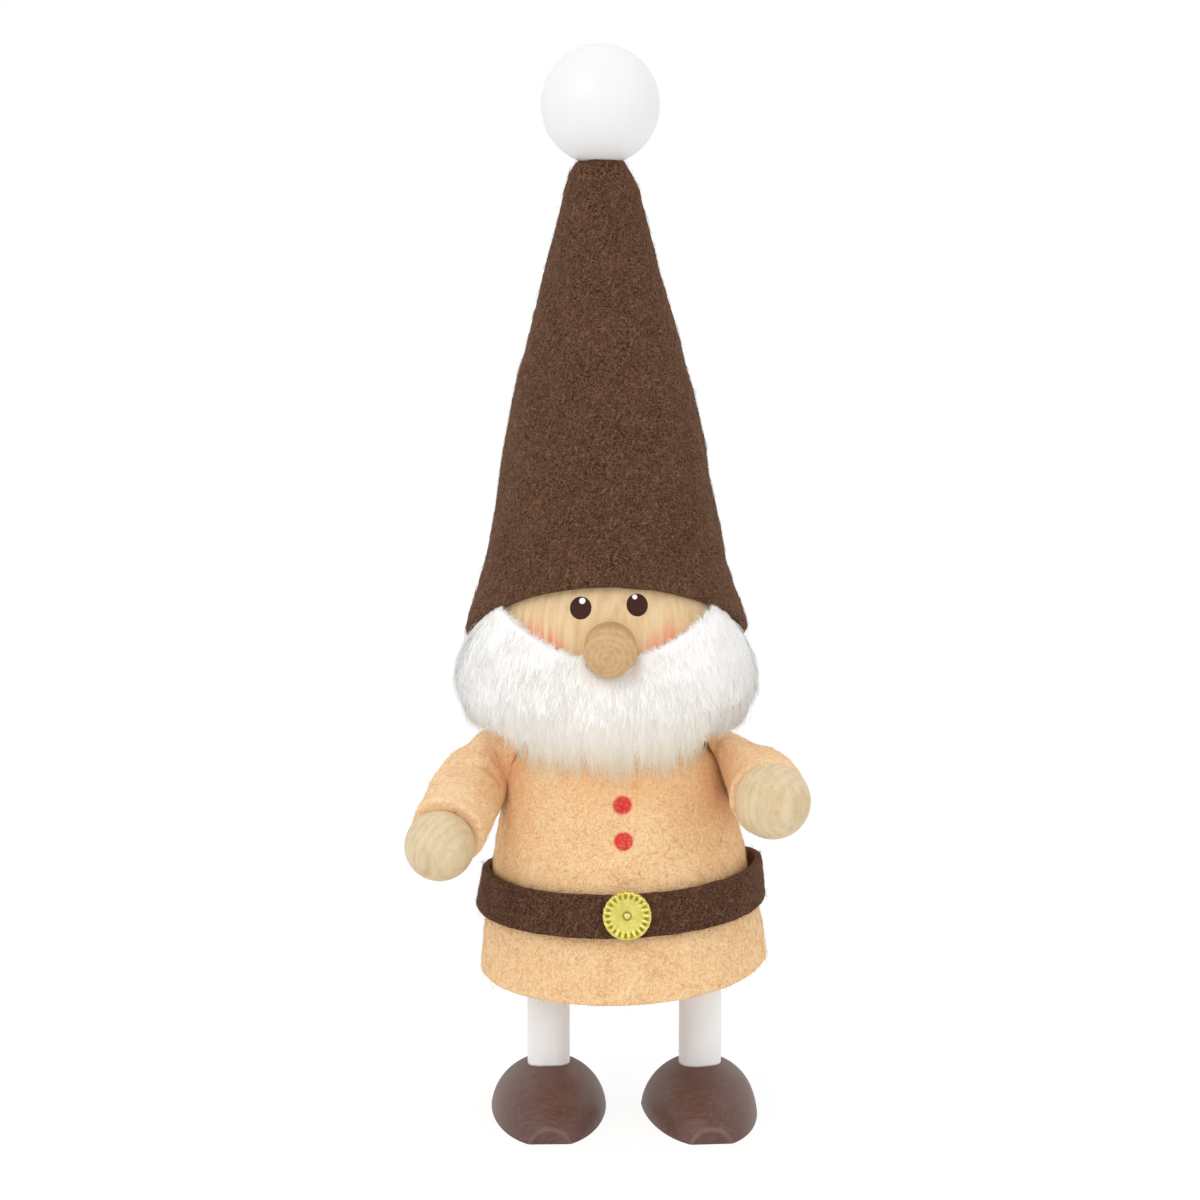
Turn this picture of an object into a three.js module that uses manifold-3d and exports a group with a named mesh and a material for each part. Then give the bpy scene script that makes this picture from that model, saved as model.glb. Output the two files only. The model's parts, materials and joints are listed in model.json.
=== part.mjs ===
// A wooden gnome doll: turned wooden pieces dressed in felt, with a fur beard.
// Millimetres, +Z up. The doll faces -Y, so its right hand is on the -X side.
import * as THREE from 'three';
import { mergeVertices } from 'three/addons/utils/BufferGeometryUtils.js';
import Module from 'manifold-3d';

// The doll's upright axis, measured from the middle of the ground that it covers
const AXIS_X = 2.1;
const AXIS_Y = 1.68;

// Fits
const GLUE_GAP = 0.2; // round a glued dowel
const TURN_GAP = 0.25; // round a dowel that turns
const FACE_GAP = 0.4; // between two faces that meet
const FELT_GAP = 0.3; // between felt and what it lies on
const BELT_GAP = 0.45; // between the slanting belt and the coat
const FUR_GAP = 0.5; // between the beard and the head

// Shoes: a turned egg each, sawn flat a little above its axis, with a flat toe
const SHOE_RADIUS = 8.25;
const SHOE_SOLE_RISE = 0.9; // the sole, above the egg's axis
const SHOE_TOE_RADIUS = 3;
const SHOE_TOE_REACH = 14.55; // leg to toe
const SHOE_HEEL_REACH = 6.9; // leg to heel
const SHOE_WIDEST = 1.8; // widest place, behind the leg
const RIGHT_TOE_TURN = 1.6; // degrees towards the doll's left
const LEFT_TOE_TURN = 4.5;

// Legs
const LEG_RADIUS = 3;
const LEG_SPREAD = 21.5; // between the two legs' axes
const LEG_SHIFT = 0.35; // both legs, to the doll's left of the middle
const LEG_FLOOR = 2.5; // wood left under a leg in its shoe
const LEG_LENGTH = 37;
const LEG_IN_BODY = 12.5;

// Wooden body
const BODY_HEIGHT = 27.4;

// Coat: outer radius at five heights above the base of the wooden body
const COAT_FELT = 1.2;
const COAT_HEM_DROP = 5; // below the wooden body
const COAT_HEM_RADIUS = 20.1;
const COAT_HIP_RISE = 3;
const COAT_HIP_RADIUS = 19.1;
const COAT_CHEST_RISE = 18;
const COAT_CHEST_RADIUS = 16.1;
const COAT_SHOULDER_RISE = 24.5;
const COAT_SHOULDER_RADIUS = 14.4;
const COAT_NECK_RISE = 27;
const COAT_NECK_RADIUS = 10.4;
const COAT_SLANT = 1.9; // degrees, hem lower on the doll's right

// Belt and buckle
const BELT_FELT = 1;
const BELT_WIDTH = 5.6;
const BELT_RISE = 6.7; // middle of the belt, above the base of the wooden body
const BELT_SLANT = 1.9;
const BELT_FLARE = 1.4; // the straight strip stands off the cone at the back of its upper edge
const BELT_ENDS_GAP = 1.8; // between the belt's ends, under the buckle
const BUCKLE_TURN = 1.4; // degrees round the coat, towards the doll's left
const BUCKLE_RADIUS = 3.25;
const BUCKLE_THICKNESS = 0.5;
const BUCKLE_RIM = 0.35; // height of the fluted rim
const BUCKLE_RIM_WIDTH = 0.85;
const BUCKLE_CREST_INSET = 0.25; // rim's crest, in from its edge
const BUCKLE_FLUTE_DEPTH = 0.18;
const BUCKLE_FLUTES = 28;
const PIN_RADIUS = 0.4;
const PIN_HEAD_RADIUS = 0.75;
const PIN_HEAD_HEIGHT = 0.4;
const PIN_IN_BODY = 4;

// Neck
const NECK_RADIUS = 3;
const NECK_IN_BODY = 10;
const NECK_IN_HEAD = 12;
const NECK_OFFSET = -2.2; // the neck is bored to the doll's right of the middle

// Head and nose
const HEAD_RADIUS = 17;
const HEAD_FLAT_RADIUS = 6.8; // flat under the head
const NOSE_RADIUS = 3.45;
const NOSE_DROP = 0.7; // below the middle of the head
const NOSE_SHIFT = 0.45; // to the doll's left of it
const NOSE_REACH = 5.3; // out of the head
const NOSE_IN_HEAD = 6;
const NOSE_TIP_ROUND = 2.1; // length of the rounded end

// Hat: a felt cone set back on the head, its brim in a slanting plane
const HAT_FELT = 1.2;
const HAT_LEAN = 0.7; // degrees, towards the doll's right
const HAT_TIP_RISE = 63.4; // above the middle of the head
const HAT_TIP_RADIUS = 3.8;
const HAT_UPPER_RISE = 45;
const HAT_UPPER_RADIUS = 8.6;
const HAT_MIDDLE_RISE = 31;
const HAT_MIDDLE_RADIUS = 12.4;
const HAT_CROWN_RISE = 11.1;
const HAT_CROWN_EASE = -0.9; // wider than the head, here and at the brim
const HAT_SEAT_ANGLE = 19; // degrees above the head's middle, where the felt rests
const HAT_BRIM_DROP = 1.15; // at the sides, below the middle of the head
const HAT_BRIM_EASE = 2.6;
const HAT_BRIM_SLANT = 8.6; // front of the brim above its sides

// Ball on the hat
const BALL_RADIUS = 7.75;
const BALL_PEG_RADIUS = 2.3;
const BALL_PEG_IN_BALL = 6;
const BALL_PEG_IN_HAT = 5;

// Beard: a fur pad from ear to ear
const BEARD_THICKNESS = 3.6;
const BEARD_EDGE = 0.8; // thickness of its edges
const BEARD_TOP_DROP = 2.6; // upper edge beside the nose, below the middle of the head
const BEARD_CHEEK_RISE = 3.4; // upper edge at the sides, above the middle of the head
const BEARD_FRONT_DROP = 18; // lower edge in front
const BEARD_SIDE_DROP = 12.4; // lower edge over the shoulders
const BEARD_FRONT_SPAN = 50; // degrees each side over which the lower edge rises
const BEARD_SPAN = 112; // degrees each side of the face
const BEARD_CHEEK_SPAN = 52; // degrees each side over which the upper edge rises
const BEARD_CHEEK_CURVE = 1.7; // 1 is a straight rise
const BEARD_BELLY = 0.85; // 1 swells most at half height, less swells lower
const BEARD_END_TAPER = 20; // degrees over which each end thins out

// Arms: a round-ended dowel in a felt sleeve, turning on a peg in the body
const SHOULDER_RISE = 22.4; // above the base of the wooden body
const SHOULDER_REACH = 19.6; // from the doll's axis
const ARM_LENGTH = 19; // shoulder to middle of the hand
const ARM_RADIUS = 2.8;
const ARM_END = 2.6; // behind the shoulder's axis
const PEG_RADIUS = 1.5;
const PEG_IN_ARM = 1.9; // past the arm's axis
const PEG_IN_BODY = 5;
const SLEEVE_FELT = 0.9;
const SLEEVE_TOP_RADIUS = 4.4;
const SLEEVE_CUFF_RADIUS = 5.3;
const SLEEVE_LENGTH = 14.8; // shoulder to cuff
// Each hand's radius, the degrees that its arm points out and down, and how far it swings down and up from there
const RIGHT_ARM = { side: -1, handRadius: 4.7, splay: 15, droop: 21, swing: [-30, 25] };
const LEFT_ARM = { side: 1, handRadius: 5.05, splay: 0.5, droop: 0, swing: [-30, 20] };

// Facets
const SIDES = 36;
const SMALL_SIDES = 24;
const ARC_STEPS = 12;
const SHORT_ARC_STEPS = 8;
const SMALL_ARC_STEPS = 5;
const COAT_STEPS = 8;
const HAT_STEPS = 48;
const HAT_ROWS = [0, 0.06, 0.12, 0.18, 0.26, 0.38, 0.55, 0.78, 1]; // shares of the way up, close at the brim
const BEARD_ROWS = 7;
const ARM_SWING_STEP = 12; // degrees between the places where a sleeve is cut to clear the coat
const WELD_DISTANCE = 1e-5;

// Heights that follow from the sizes
const BODY_BASE_Z = LEG_FLOOR + LEG_LENGTH - LEG_IN_BODY;
const COAT_UNDER = COAT_FELT + FELT_GAP;
const BODY_TOP_Z = BODY_BASE_Z + BODY_HEIGHT;
const HEAD_FLAT_DROP = Math.sqrt(HEAD_RADIUS ** 2 - HEAD_FLAT_RADIUS ** 2);
const HEAD_Z = BODY_TOP_Z + FACE_GAP + HEAD_FLAT_DROP;
const SHOULDER_Z = BODY_BASE_Z + SHOULDER_RISE;
const BELT_Z = BODY_BASE_Z + BELT_RISE;

const wasm = await Module();
wasm.setup();

const radians = THREE.MathUtils.degToRad;
const lerp = THREE.MathUtils.lerp;
const point = (radius, height) => new THREE.Vector2(radius, height);

const WOOD = { color: 0xdcb884, roughness: 0.6 };
const WHITE_PAINT = { color: 0xf4f2ee, roughness: 0.45 };
const BROWN_PAINT = { color: 0x4a2f27, roughness: 0.5 };
const BROWN_FELT = { color: 0x4a2e1f, roughness: 1 };
const PEACH_FELT = { color: 0xf0bd85, roughness: 1 };
const FUR = { color: 0xf6f3ee, roughness: 1 };
const BRASS = { color: 0xd6bb3c, roughness: 0.3, metalness: 1 };

// A closed copy of a geometry with shared corners and its faces turned outwards
function weld(geometry) {
  const bare = geometry.clone();
  bare.deleteAttribute('normal');
  bare.deleteAttribute('uv');
  const welded = mergeVertices(bare, WELD_DISTANCE);
  const corners = welded.index.array;
  const at = (i) => new THREE.Vector3().fromBufferAttribute(welded.attributes.position, i);
  const kept = [];
  let volume = 0;
  for (let i = 0; i < corners.length; i += 3) {
    const [a, b, c] = corners.slice(i, i + 3);
    if (a === b || b === c || c === a) continue;
    kept.push([a, b, c]);
    volume += at(a).dot(at(b).cross(at(c)));
  }
  welded.setIndex(kept.flatMap(([a, b, c]) => (volume < 0 ? [a, c, b] : [a, b, c])));
  return welded;
}

function solid(geometry) {
  const { attributes, index } = weld(geometry);
  return new wasm.Manifold(new wasm.Mesh({
    numProp: 3,
    vertProperties: new Float32Array(attributes.position.array),
    triVerts: new Uint32Array(index.array),
  }));
}

function shaped(body) {
  const mesh = body.getMesh();
  const geometry = new THREE.BufferGeometry();
  geometry.setAttribute('position', new THREE.BufferAttribute(mesh.vertProperties, 3));
  geometry.setIndex(new THREE.BufferAttribute(mesh.triVerts, 1));
  return geometry;
}

function cut(geometry, ...tools) {
  return shaped(tools.reduce((body, tool) => body.subtract(solid(tool)), solid(geometry)));
}

function fuse(geometry, other) {
  return shaped(solid(geometry).add(solid(other)));
}

function piece(name, geometry, finish) {
  const shape = weld(geometry);
  shape.computeVertexNormals();
  const mesh = new THREE.Mesh(shape, new THREE.MeshStandardMaterial(finish));
  mesh.name = name;
  return mesh;
}

// A revolved profile of (radius, height) points, standing on +Z
function turned(profile, sides = SIDES) {
  return new THREE.LatheGeometry(profile, sides).rotateX(Math.PI / 2);
}

// A revolved wall: an outer profile and the same profile moved inwards
function turnedWall(outer, inner, sides = SIDES) {
  return turned([...outer, ...[...inner].reverse(), outer[0]], sides);
}

// A plain dowel along +Z
function dowel(radius, bottom, top, sides = SMALL_SIDES) {
  return new THREE.CylinderGeometry(radius, radius, top - bottom, sides)
    .rotateX(Math.PI / 2)
    .translate(0, 0, (bottom + top) / 2);
}

// Points of an ellipse's arc about (0, height); angles are degrees above the level
function arc(radius, reach, height, from, to, steps = ARC_STEPS) {
  return Array.from({ length: steps + 1 }, (_, i) => {
    const angle = radians(lerp(from, to, i / steps));
    return point(Math.max(radius * Math.cos(angle), 0), height + reach * Math.sin(angle));
  });
}

// A profile moved square to itself, outwards for a profile that runs upwards
function offset(profile, distance) {
  return profile.map((p, i) => {
    const before = profile[Math.max(i - 1, 0)];
    const after = profile[Math.min(i + 1, profile.length - 1)];
    const along = after.clone().sub(before).normalize();
    return point(p.x + along.y * distance, p.y - along.x * distance);
  });
}

// A skin over rings of equally many points, closed on itself or capped at its ends
function loft(rings, isLoop) {
  const count = rings[0].length;
  const corners = rings.flat();
  const faces = [];
  const rows = isLoop ? rings.length : rings.length - 1;
  for (let row = 0; row < rows; row++) {
    const next = (row + 1) % rings.length;
    for (let i = 0; i < count; i++) {
      const j = (i + 1) % count;
      const [a, b, c, d] = [row * count + i, row * count + j, next * count + j, next * count + i];
      faces.push(a, b, c, a, c, d);
    }
  }
  if (!isLoop) {
    for (const [row, turn] of [[0, true], [rings.length - 1, false]]) {
      const middle = rings[row].reduce((sum, p) => sum.add(p), new THREE.Vector3()).divideScalar(count);
      corners.push(middle);
      for (let i = 0; i < count; i++) {
        const edge = [row * count + i, row * count + ((i + 1) % count)];
        faces.push(corners.length - 1, ...(turn ? edge.reverse() : edge));
      }
    }
  }
  const geometry = new THREE.BufferGeometry().setFromPoints(corners);
  geometry.setIndex(faces);
  return geometry;
}

// A point at an angle from the front (towards the doll's left), a radius and a height
function around(angle, radius, height) {
  return new THREE.Vector3(radius * Math.sin(angle), -radius * Math.cos(angle), height);
}

function ring(radiusAt, heightAt, sides = SIDES) {
  return Array.from({ length: sides }, (_, i) => {
    const angle = (2 * Math.PI * i) / sides;
    const height = heightAt(angle);
    return around(angle, radiusAt(height), height);
  });
}

// The coat's outer profile, from its hem up to its neck
const coatProfile = new THREE.SplineCurve([
  point(COAT_HEM_RADIUS, BODY_BASE_Z - COAT_HEM_DROP),
  point(COAT_HIP_RADIUS, BODY_BASE_Z + COAT_HIP_RISE),
  point(COAT_CHEST_RADIUS, BODY_BASE_Z + COAT_CHEST_RISE),
  point(COAT_SHOULDER_RADIUS, BODY_BASE_Z + COAT_SHOULDER_RISE),
  point(COAT_NECK_RADIUS, BODY_BASE_Z + COAT_NECK_RISE),
]).getPoints(COAT_STEPS);

// The radius of an upward profile at a height
function profileRadius(profile, height) {
  const top = profile.findIndex((p) => p.y >= height);
  const [low, high] = [profile[top - 1], profile[top]];
  return lerp(low.x, high.x, (height - low.y) / (high.y - low.y));
}

// Where the buckle's pin goes in: square to the coat, at the middle of the belt
const pinFrame = new THREE.Group();
{
  const [low, high] = [-1, 1].map((end) => profileRadius(coatProfile, BELT_Z + (end * BELT_WIDTH) / 2));
  const tilt = Math.atan2(low - high, BELT_WIDTH);
  pinFrame.rotation.set(Math.PI / 2 - tilt, 0, radians(BUCKLE_TURN), 'ZYX');
  pinFrame.position.copy(around(radians(BUCKLE_TURN), profileRadius(coatProfile, BELT_Z), BELT_Z));
  pinFrame.updateMatrix();
}
const pinHole = () => dowel(PIN_RADIUS + GLUE_GAP, -COAT_UNDER - PIN_IN_BODY - FACE_GAP, BELT_GAP)
  .applyMatrix4(pinFrame.matrix);

const legX = (side) => LEG_SHIFT + (side * LEG_SPREAD) / 2;

function legHole(side, bottom, top) {
  return dowel(LEG_RADIUS + GLUE_GAP, bottom, top).translate(legX(side), 0, 0);
}

function pegHole(side, radius, reach) {
  return dowel(radius, SHOULDER_REACH - reach, SHOULDER_REACH)
    .rotateY((side * Math.PI) / 2)
    .translate(0, 0, SHOULDER_Z);
}

// From the doll's axis to the inner end of a shoulder peg
const PEG_INNER_END = profileRadius(coatProfile, SHOULDER_Z) - COAT_UNDER - PEG_IN_BODY;
const PEG_HOLE_REACH = SHOULDER_REACH - PEG_INNER_END + FACE_GAP;

// The wood follows the coat up to its neck, where a boss carries the head
function bodyCore() {
  const under = offset(coatProfile, -COAT_UNDER);
  const base = point(profileRadius(under, BODY_BASE_Z), BODY_BASE_Z);
  const sides = [base, ...under.filter((p) => p.y > BODY_BASE_Z)];
  const boss = sides.at(-1).x - FACE_GAP;
  const neck = [point(boss, sides.at(-1).y), point(boss, BODY_TOP_Z), point(0, BODY_TOP_Z)];
  const profile = [point(0, BODY_BASE_Z), ...sides, ...neck];
  const neckFloor = BODY_TOP_Z - NECK_IN_BODY - FACE_GAP;
  const neckHole = dowel(NECK_RADIUS + GLUE_GAP, neckFloor, BODY_TOP_Z + FACE_GAP)
    .translate(NECK_OFFSET, 0, 0);
  const holes = [-1, 1].flatMap((side) => [
    legHole(side, BODY_BASE_Z - FACE_GAP, BODY_BASE_Z + LEG_IN_BODY + FACE_GAP),
    pegHole(side, PEG_RADIUS + TURN_GAP, PEG_HOLE_REACH),
  ]);
  return cut(turned(profile), neckHole, pinHole(), ...holes);
}

function coat() {
  const wall = turnedWall(coatProfile, offset(coatProfile, -COAT_FELT));
  const place = wall.attributes.position;
  const hemZ = BODY_BASE_Z - COAT_HEM_DROP;
  for (let i = 0; i < place.count; i++) {
    const hang = 1 - Math.min((place.getZ(i) - hemZ) / (SHOULDER_Z - hemZ), 1);
    place.setZ(i, place.getZ(i) + place.getX(i) * Math.tan(radians(COAT_SLANT)) * hang);
  }
  const holes = [-1, 1].map((side) => pegHole(side, PEG_RADIUS + FACE_GAP, PEG_HOLE_REACH));
  return cut(wall, pinHole(), ...holes);
}

// A strip round the coat whose two ends meet under the buckle
function belt() {
  const inner = BELT_GAP;
  const outer = BELT_GAP + BELT_FELT;
  const open = BELT_ENDS_GAP / 2 / profileRadius(coatProfile, BELT_Z);
  const rings = Array.from({ length: SIDES + 1 }, (_, i) => {
    const angle = radians(BUCKLE_TURN) + lerp(open, 2 * Math.PI - open, i / SIDES);
    const [low, high] = [-1, 1].map((end) => (end * BELT_WIDTH) / 2);
    const flare = BELT_FLARE * Math.sin(angle / 2) ** 2;
    return [[inner, low], [outer, low], [outer + flare, high], [inner + flare, high]].map(([proud, dz]) =>
      around(angle, profileRadius(coatProfile, BELT_Z + dz) + proud, dz));
  });
  return loft(rings, false);
}

// A stamped disc with a fluted rim, its back at z = 0
function buckle() {
  const steps = 2 * BUCKLE_FLUTES;
  const bore = PIN_RADIUS + GLUE_GAP;
  const flat = BUCKLE_RADIUS - BUCKLE_RIM_WIDTH;
  const top = BUCKLE_THICKNESS;
  const crest = top + BUCKLE_RIM;
  const section = [
    [bore, 0, 0],
    [BUCKLE_RADIUS, 0, 0],
    [BUCKLE_RADIUS, top, top],
    [BUCKLE_RADIUS - BUCKLE_CREST_INSET, crest, crest - BUCKLE_FLUTE_DEPTH],
    [flat, top, top],
    [bore, top, top],
  ];
  const rings = section.map(([radius, even, odd]) => Array.from({ length: steps }, (_, i) =>
    around((2 * Math.PI * i) / steps, radius, i % 2 ? odd : even)));
  return loft(rings, true);
}

// From the coat to the buckle's back, and to the underside of the pin's head
const BUCKLE_LIFT = BELT_GAP + BELT_FELT + GLUE_GAP;
const PIN_LIFT = BUCKLE_LIFT + BUCKLE_THICKNESS + GLUE_GAP;

// A pin with a domed head that rests on the buckle, its head's underside at z = 0
function bucklePin() {
  const shank = PIN_LIFT + COAT_UNDER + PIN_IN_BODY;
  const dome = arc(PIN_HEAD_RADIUS, PIN_HEAD_HEIGHT, 0, 0, 90, SMALL_ARC_STEPS);
  return turned([point(0, -shank), point(PIN_RADIUS, -shank), point(PIN_RADIUS, 0), ...dome], SMALL_SIDES);
}

function shoe() {
  const toeAngle = Math.acos(SHOE_TOE_RADIUS / SHOE_RADIUS);
  const toeReach = (SHOE_TOE_REACH + SHOE_WIDEST) / Math.sin(toeAngle);
  const degrees = THREE.MathUtils.radToDeg(toeAngle);
  const toe = arc(SHOE_RADIUS, toeReach, SHOE_WIDEST, -degrees, 0, SHORT_ARC_STEPS);
  const heelReach = SHOE_HEEL_REACH - SHOE_WIDEST;
  const heel = arc(SHOE_RADIUS, heelReach, SHOE_WIDEST, 0, 90, SHORT_ARC_STEPS);
  const egg = new THREE.LatheGeometry([point(0, -SHOE_TOE_REACH), ...toe, ...heel.slice(1)], SIDES)
    .translate(0, 0, -SHOE_SOLE_RISE);
  const room = 4 * SHOE_TOE_REACH;
  const underside = new THREE.BoxGeometry(room, room, room).translate(0, 0, -room / 2);
  return cut(egg, underside, dowel(LEG_RADIUS + GLUE_GAP, LEG_FLOOR - GLUE_GAP, LEG_FLOOR + SHOE_RADIUS));
}

function head() {
  const flatAngle = THREE.MathUtils.radToDeg(Math.asin(HEAD_FLAT_DROP / HEAD_RADIUS));
  const ball = [point(0, -HEAD_FLAT_DROP), ...arc(HEAD_RADIUS, HEAD_RADIUS, 0, -flatAngle, 90)];
  const neckHole = dowel(NECK_RADIUS + TURN_GAP, -HEAD_RADIUS, NECK_IN_HEAD - HEAD_FLAT_DROP + FACE_GAP);
  const noseHole = dowel(NOSE_RADIUS + GLUE_GAP, HEAD_RADIUS - NOSE_IN_HEAD - GLUE_GAP, 2 * HEAD_RADIUS)
    .rotateX(Math.PI / 2)
    .translate(NOSE_SHIFT, 0, -NOSE_DROP);
  return cut(turned(ball), neckHole, noseHole);
}

// A round-ended peg along +Z, its inner end at z = 0
function nose() {
  const length = NOSE_IN_HEAD + NOSE_REACH;
  const tip = arc(NOSE_RADIUS, NOSE_TIP_ROUND, length - NOSE_TIP_ROUND, 0, 90, SMALL_ARC_STEPS);
  return turned([point(0, 0), point(NOSE_RADIUS, 0), ...tip], SMALL_SIDES);
}

// The hat's outer profile about the middle of the head, from below its brim up to its tip
const hatSeat = HEAD_RADIUS + FELT_GAP + HAT_FELT;
const hatBrimRadius = HEAD_RADIUS + HAT_BRIM_EASE;
const hatProfile = new THREE.SplineCurve([
  point(hatBrimRadius, -HAT_BRIM_DROP - HAT_BRIM_SLANT - HAT_FELT),
  point(hatBrimRadius, -HAT_BRIM_DROP),
  point(hatSeat * Math.cos(radians(HAT_SEAT_ANGLE)), hatSeat * Math.sin(radians(HAT_SEAT_ANGLE))),
  point(HEAD_RADIUS + HAT_CROWN_EASE, HAT_CROWN_RISE),
  point(HAT_MIDDLE_RADIUS, HAT_MIDDLE_RISE),
  point(HAT_UPPER_RADIUS, HAT_UPPER_RISE),
  point(HAT_TIP_RADIUS, HAT_TIP_RISE),
]).getPoints(HAT_STEPS);

const brimHeight = (angle) => HAT_BRIM_SLANT * Math.cos(angle) - HAT_BRIM_DROP;

function hat() {
  const row = (up, thickness) => ring(
    (height) => profileRadius(hatProfile, height) - thickness,
    (angle) => lerp(brimHeight(angle), HAT_TIP_RISE, up),
  );
  const outer = HAT_ROWS.map((up) => row(up, 0));
  const inner = HAT_ROWS.map((up) => row(up, HAT_FELT)).reverse();
  return cut(loft([...outer, ...inner], true), sphere(BALL_RADIUS + FELT_GAP));
}

// The ball sits in the hat's cupped rim, and its peg fills the hat's tip
const BALL_Z = HAT_TIP_RISE + Math.sqrt((BALL_RADIUS + FELT_GAP) ** 2 - HAT_TIP_RADIUS ** 2);
const BALL_BOTTOM = BALL_Z - BALL_RADIUS;

function sphere(radius) {
  return turned(arc(radius, radius, BALL_Z, -90, 90), SMALL_SIDES);
}

function hatBall() {
  const top = BALL_BOTTOM + BALL_PEG_IN_BALL + GLUE_GAP;
  return cut(sphere(BALL_RADIUS), dowel(BALL_PEG_RADIUS + GLUE_GAP, BALL_BOTTOM - FACE_GAP, top));
}

function ballPeg() {
  return dowel(BALL_PEG_RADIUS, HAT_TIP_RISE - BALL_PEG_IN_HAT, BALL_BOTTOM + BALL_PEG_IN_BALL);
}

// How high the beard may reach at an angle from the front, so that it stays clear of the nose
function underNose(angle) {
  const room = NOSE_RADIUS + FUR_GAP;
  const across = HEAD_RADIUS * Math.sin(angle) - NOSE_SHIFT;
  if (Math.cos(angle) < 0 || Math.abs(across) > room) return Infinity;
  return -NOSE_DROP - Math.sqrt(room ** 2 - across ** 2);
}

// The beard's section at an angle from the front, as points round its edge
function beardSection(angle) {
  const side = Math.abs(angle);
  const up = Math.min(side / radians(BEARD_CHEEK_SPAN), 1) ** BEARD_CHEEK_CURVE;
  const cheek = lerp(-BEARD_TOP_DROP, BEARD_CHEEK_RISE, up);
  const top = Math.min(cheek, brimHeight(angle) - FUR_GAP, underNose(angle));
  const rise = THREE.MathUtils.smoothstep(side, radians(BEARD_FRONT_SPAN / 2), radians(BEARD_FRONT_SPAN));
  const bottom = -lerp(BEARD_FRONT_DROP, BEARD_SIDE_DROP, rise);
  const inner = HEAD_RADIUS + FUR_GAP;
  const fullness = Math.sqrt(THREE.MathUtils.clamp((BEARD_SPAN - side / radians(1)) / BEARD_END_TAPER, 0, 1));
  const shares = Array.from({ length: BEARD_ROWS }, (_, i) => i / (BEARD_ROWS - 1));
  const outside = shares.map((share) => {
    const swell = Math.sin(Math.PI * share ** BEARD_BELLY) * fullness;
    return around(angle, inner + lerp(BEARD_EDGE, BEARD_THICKNESS, swell), lerp(bottom, top, share));
  });
  const inside = shares.map((share) => around(angle, inner, lerp(top, bottom, share)));
  return [...inside, ...outside];
}

function beard() {
  const reach = radians(BEARD_SPAN);
  const angles = Array.from({ length: SIDES + 1 }, (_, i) => lerp(-reach, reach, i / SIDES));
  return loft(angles.map(beardSection), false);
}

// An arm's own frame: the shoulder's axis is X, and the arm reaches along -Y, turned out by its splay
function alongArm(geometry, { side, splay }) {
  return geometry.rotateX(Math.PI / 2).rotateZ(side * radians(splay));
}

function hand(arm) {
  const radius = arm.handRadius;
  const ballStart = THREE.MathUtils.radToDeg(Math.asin(ARM_RADIUS / radius)) - 90;
  const ball = arc(radius, radius, ARM_LENGTH, ballStart, 90, SHORT_ARC_STEPS);
  const end = arc(ARM_RADIUS, ARM_RADIUS / 2, ARM_RADIUS / 2 - ARM_END, -90, 0, SMALL_ARC_STEPS);
  const shape = alongArm(turned([...end, ...ball], SMALL_SIDES), arm);
  const hole = dowel(PEG_RADIUS + GLUE_GAP, -SHOULDER_REACH, PEG_IN_ARM + GLUE_GAP);
  return cut(shape, hole.rotateY((arm.side * Math.PI) / 2));
}

function shoulderPeg(arm) {
  return dowel(PEG_RADIUS, PEG_INNER_END - SHOULDER_REACH, PEG_IN_ARM).rotateY((arm.side * Math.PI) / 2);
}

// A felt tube with a rounded shoulder, shaved where it lies against the coat
function sleeve(arm) {
  const outer = [
    ...arc(SLEEVE_TOP_RADIUS, SLEEVE_TOP_RADIUS, 0, -90, 0, SMALL_ARC_STEPS),
    point(lerp(SLEEVE_TOP_RADIUS, SLEEVE_CUFF_RADIUS, 0.5), SLEEVE_LENGTH / 2),
    point(SLEEVE_CUFF_RADIUS, SLEEVE_LENGTH),
  ];
  const inside = offset(outer, -SLEEVE_FELT);
  inside[0].x = 0;
  const past = SLEEVE_LENGTH + SLEEVE_FELT;
  const hollow = [...inside, point(inside.at(-1).x, past), point(0, past)];
  const tube = alongArm(turned([...outer, point(0, SLEEVE_LENGTH)], SMALL_SIDES), arm);
  const room = alongArm(turned(hollow, SMALL_SIDES), arm);
  const outwards = (arm.side * Math.PI) / 2;
  const shoulder = dowel(SLEEVE_TOP_RADIUS, -SHOULDER_REACH, 0).rotateY(outwards);
  const hole = dowel(PEG_RADIUS + FACE_GAP, -SHOULDER_REACH, 0).rotateY(outwards);
  return cut(fuse(tube, shoulder), room, hole, ...coatSweep(arm));
}

// The coat beside a sleeve, with room round it, at steps of the arm's swing
function coatSweep({ side, droop, swing: [lowest, highest] }) {
  const profile = offset(coatProfile, FACE_GAP);
  const shape = turned([point(0, profile[0].y), ...profile, point(0, profile.at(-1).y)], SMALL_SIDES)
    .translate(-side * SHOULDER_REACH, 0, -SHOULDER_Z);
  const steps = Math.ceil((highest - lowest) / ARM_SWING_STEP);
  return Array.from({ length: steps + 1 }, (_, i) =>
    shape.clone().rotateX(radians(lerp(lowest, highest, i / steps) - droop)));
}

const doll = new THREE.Group();
doll.position.set(AXIS_X, AXIS_Y, 0);

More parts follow.
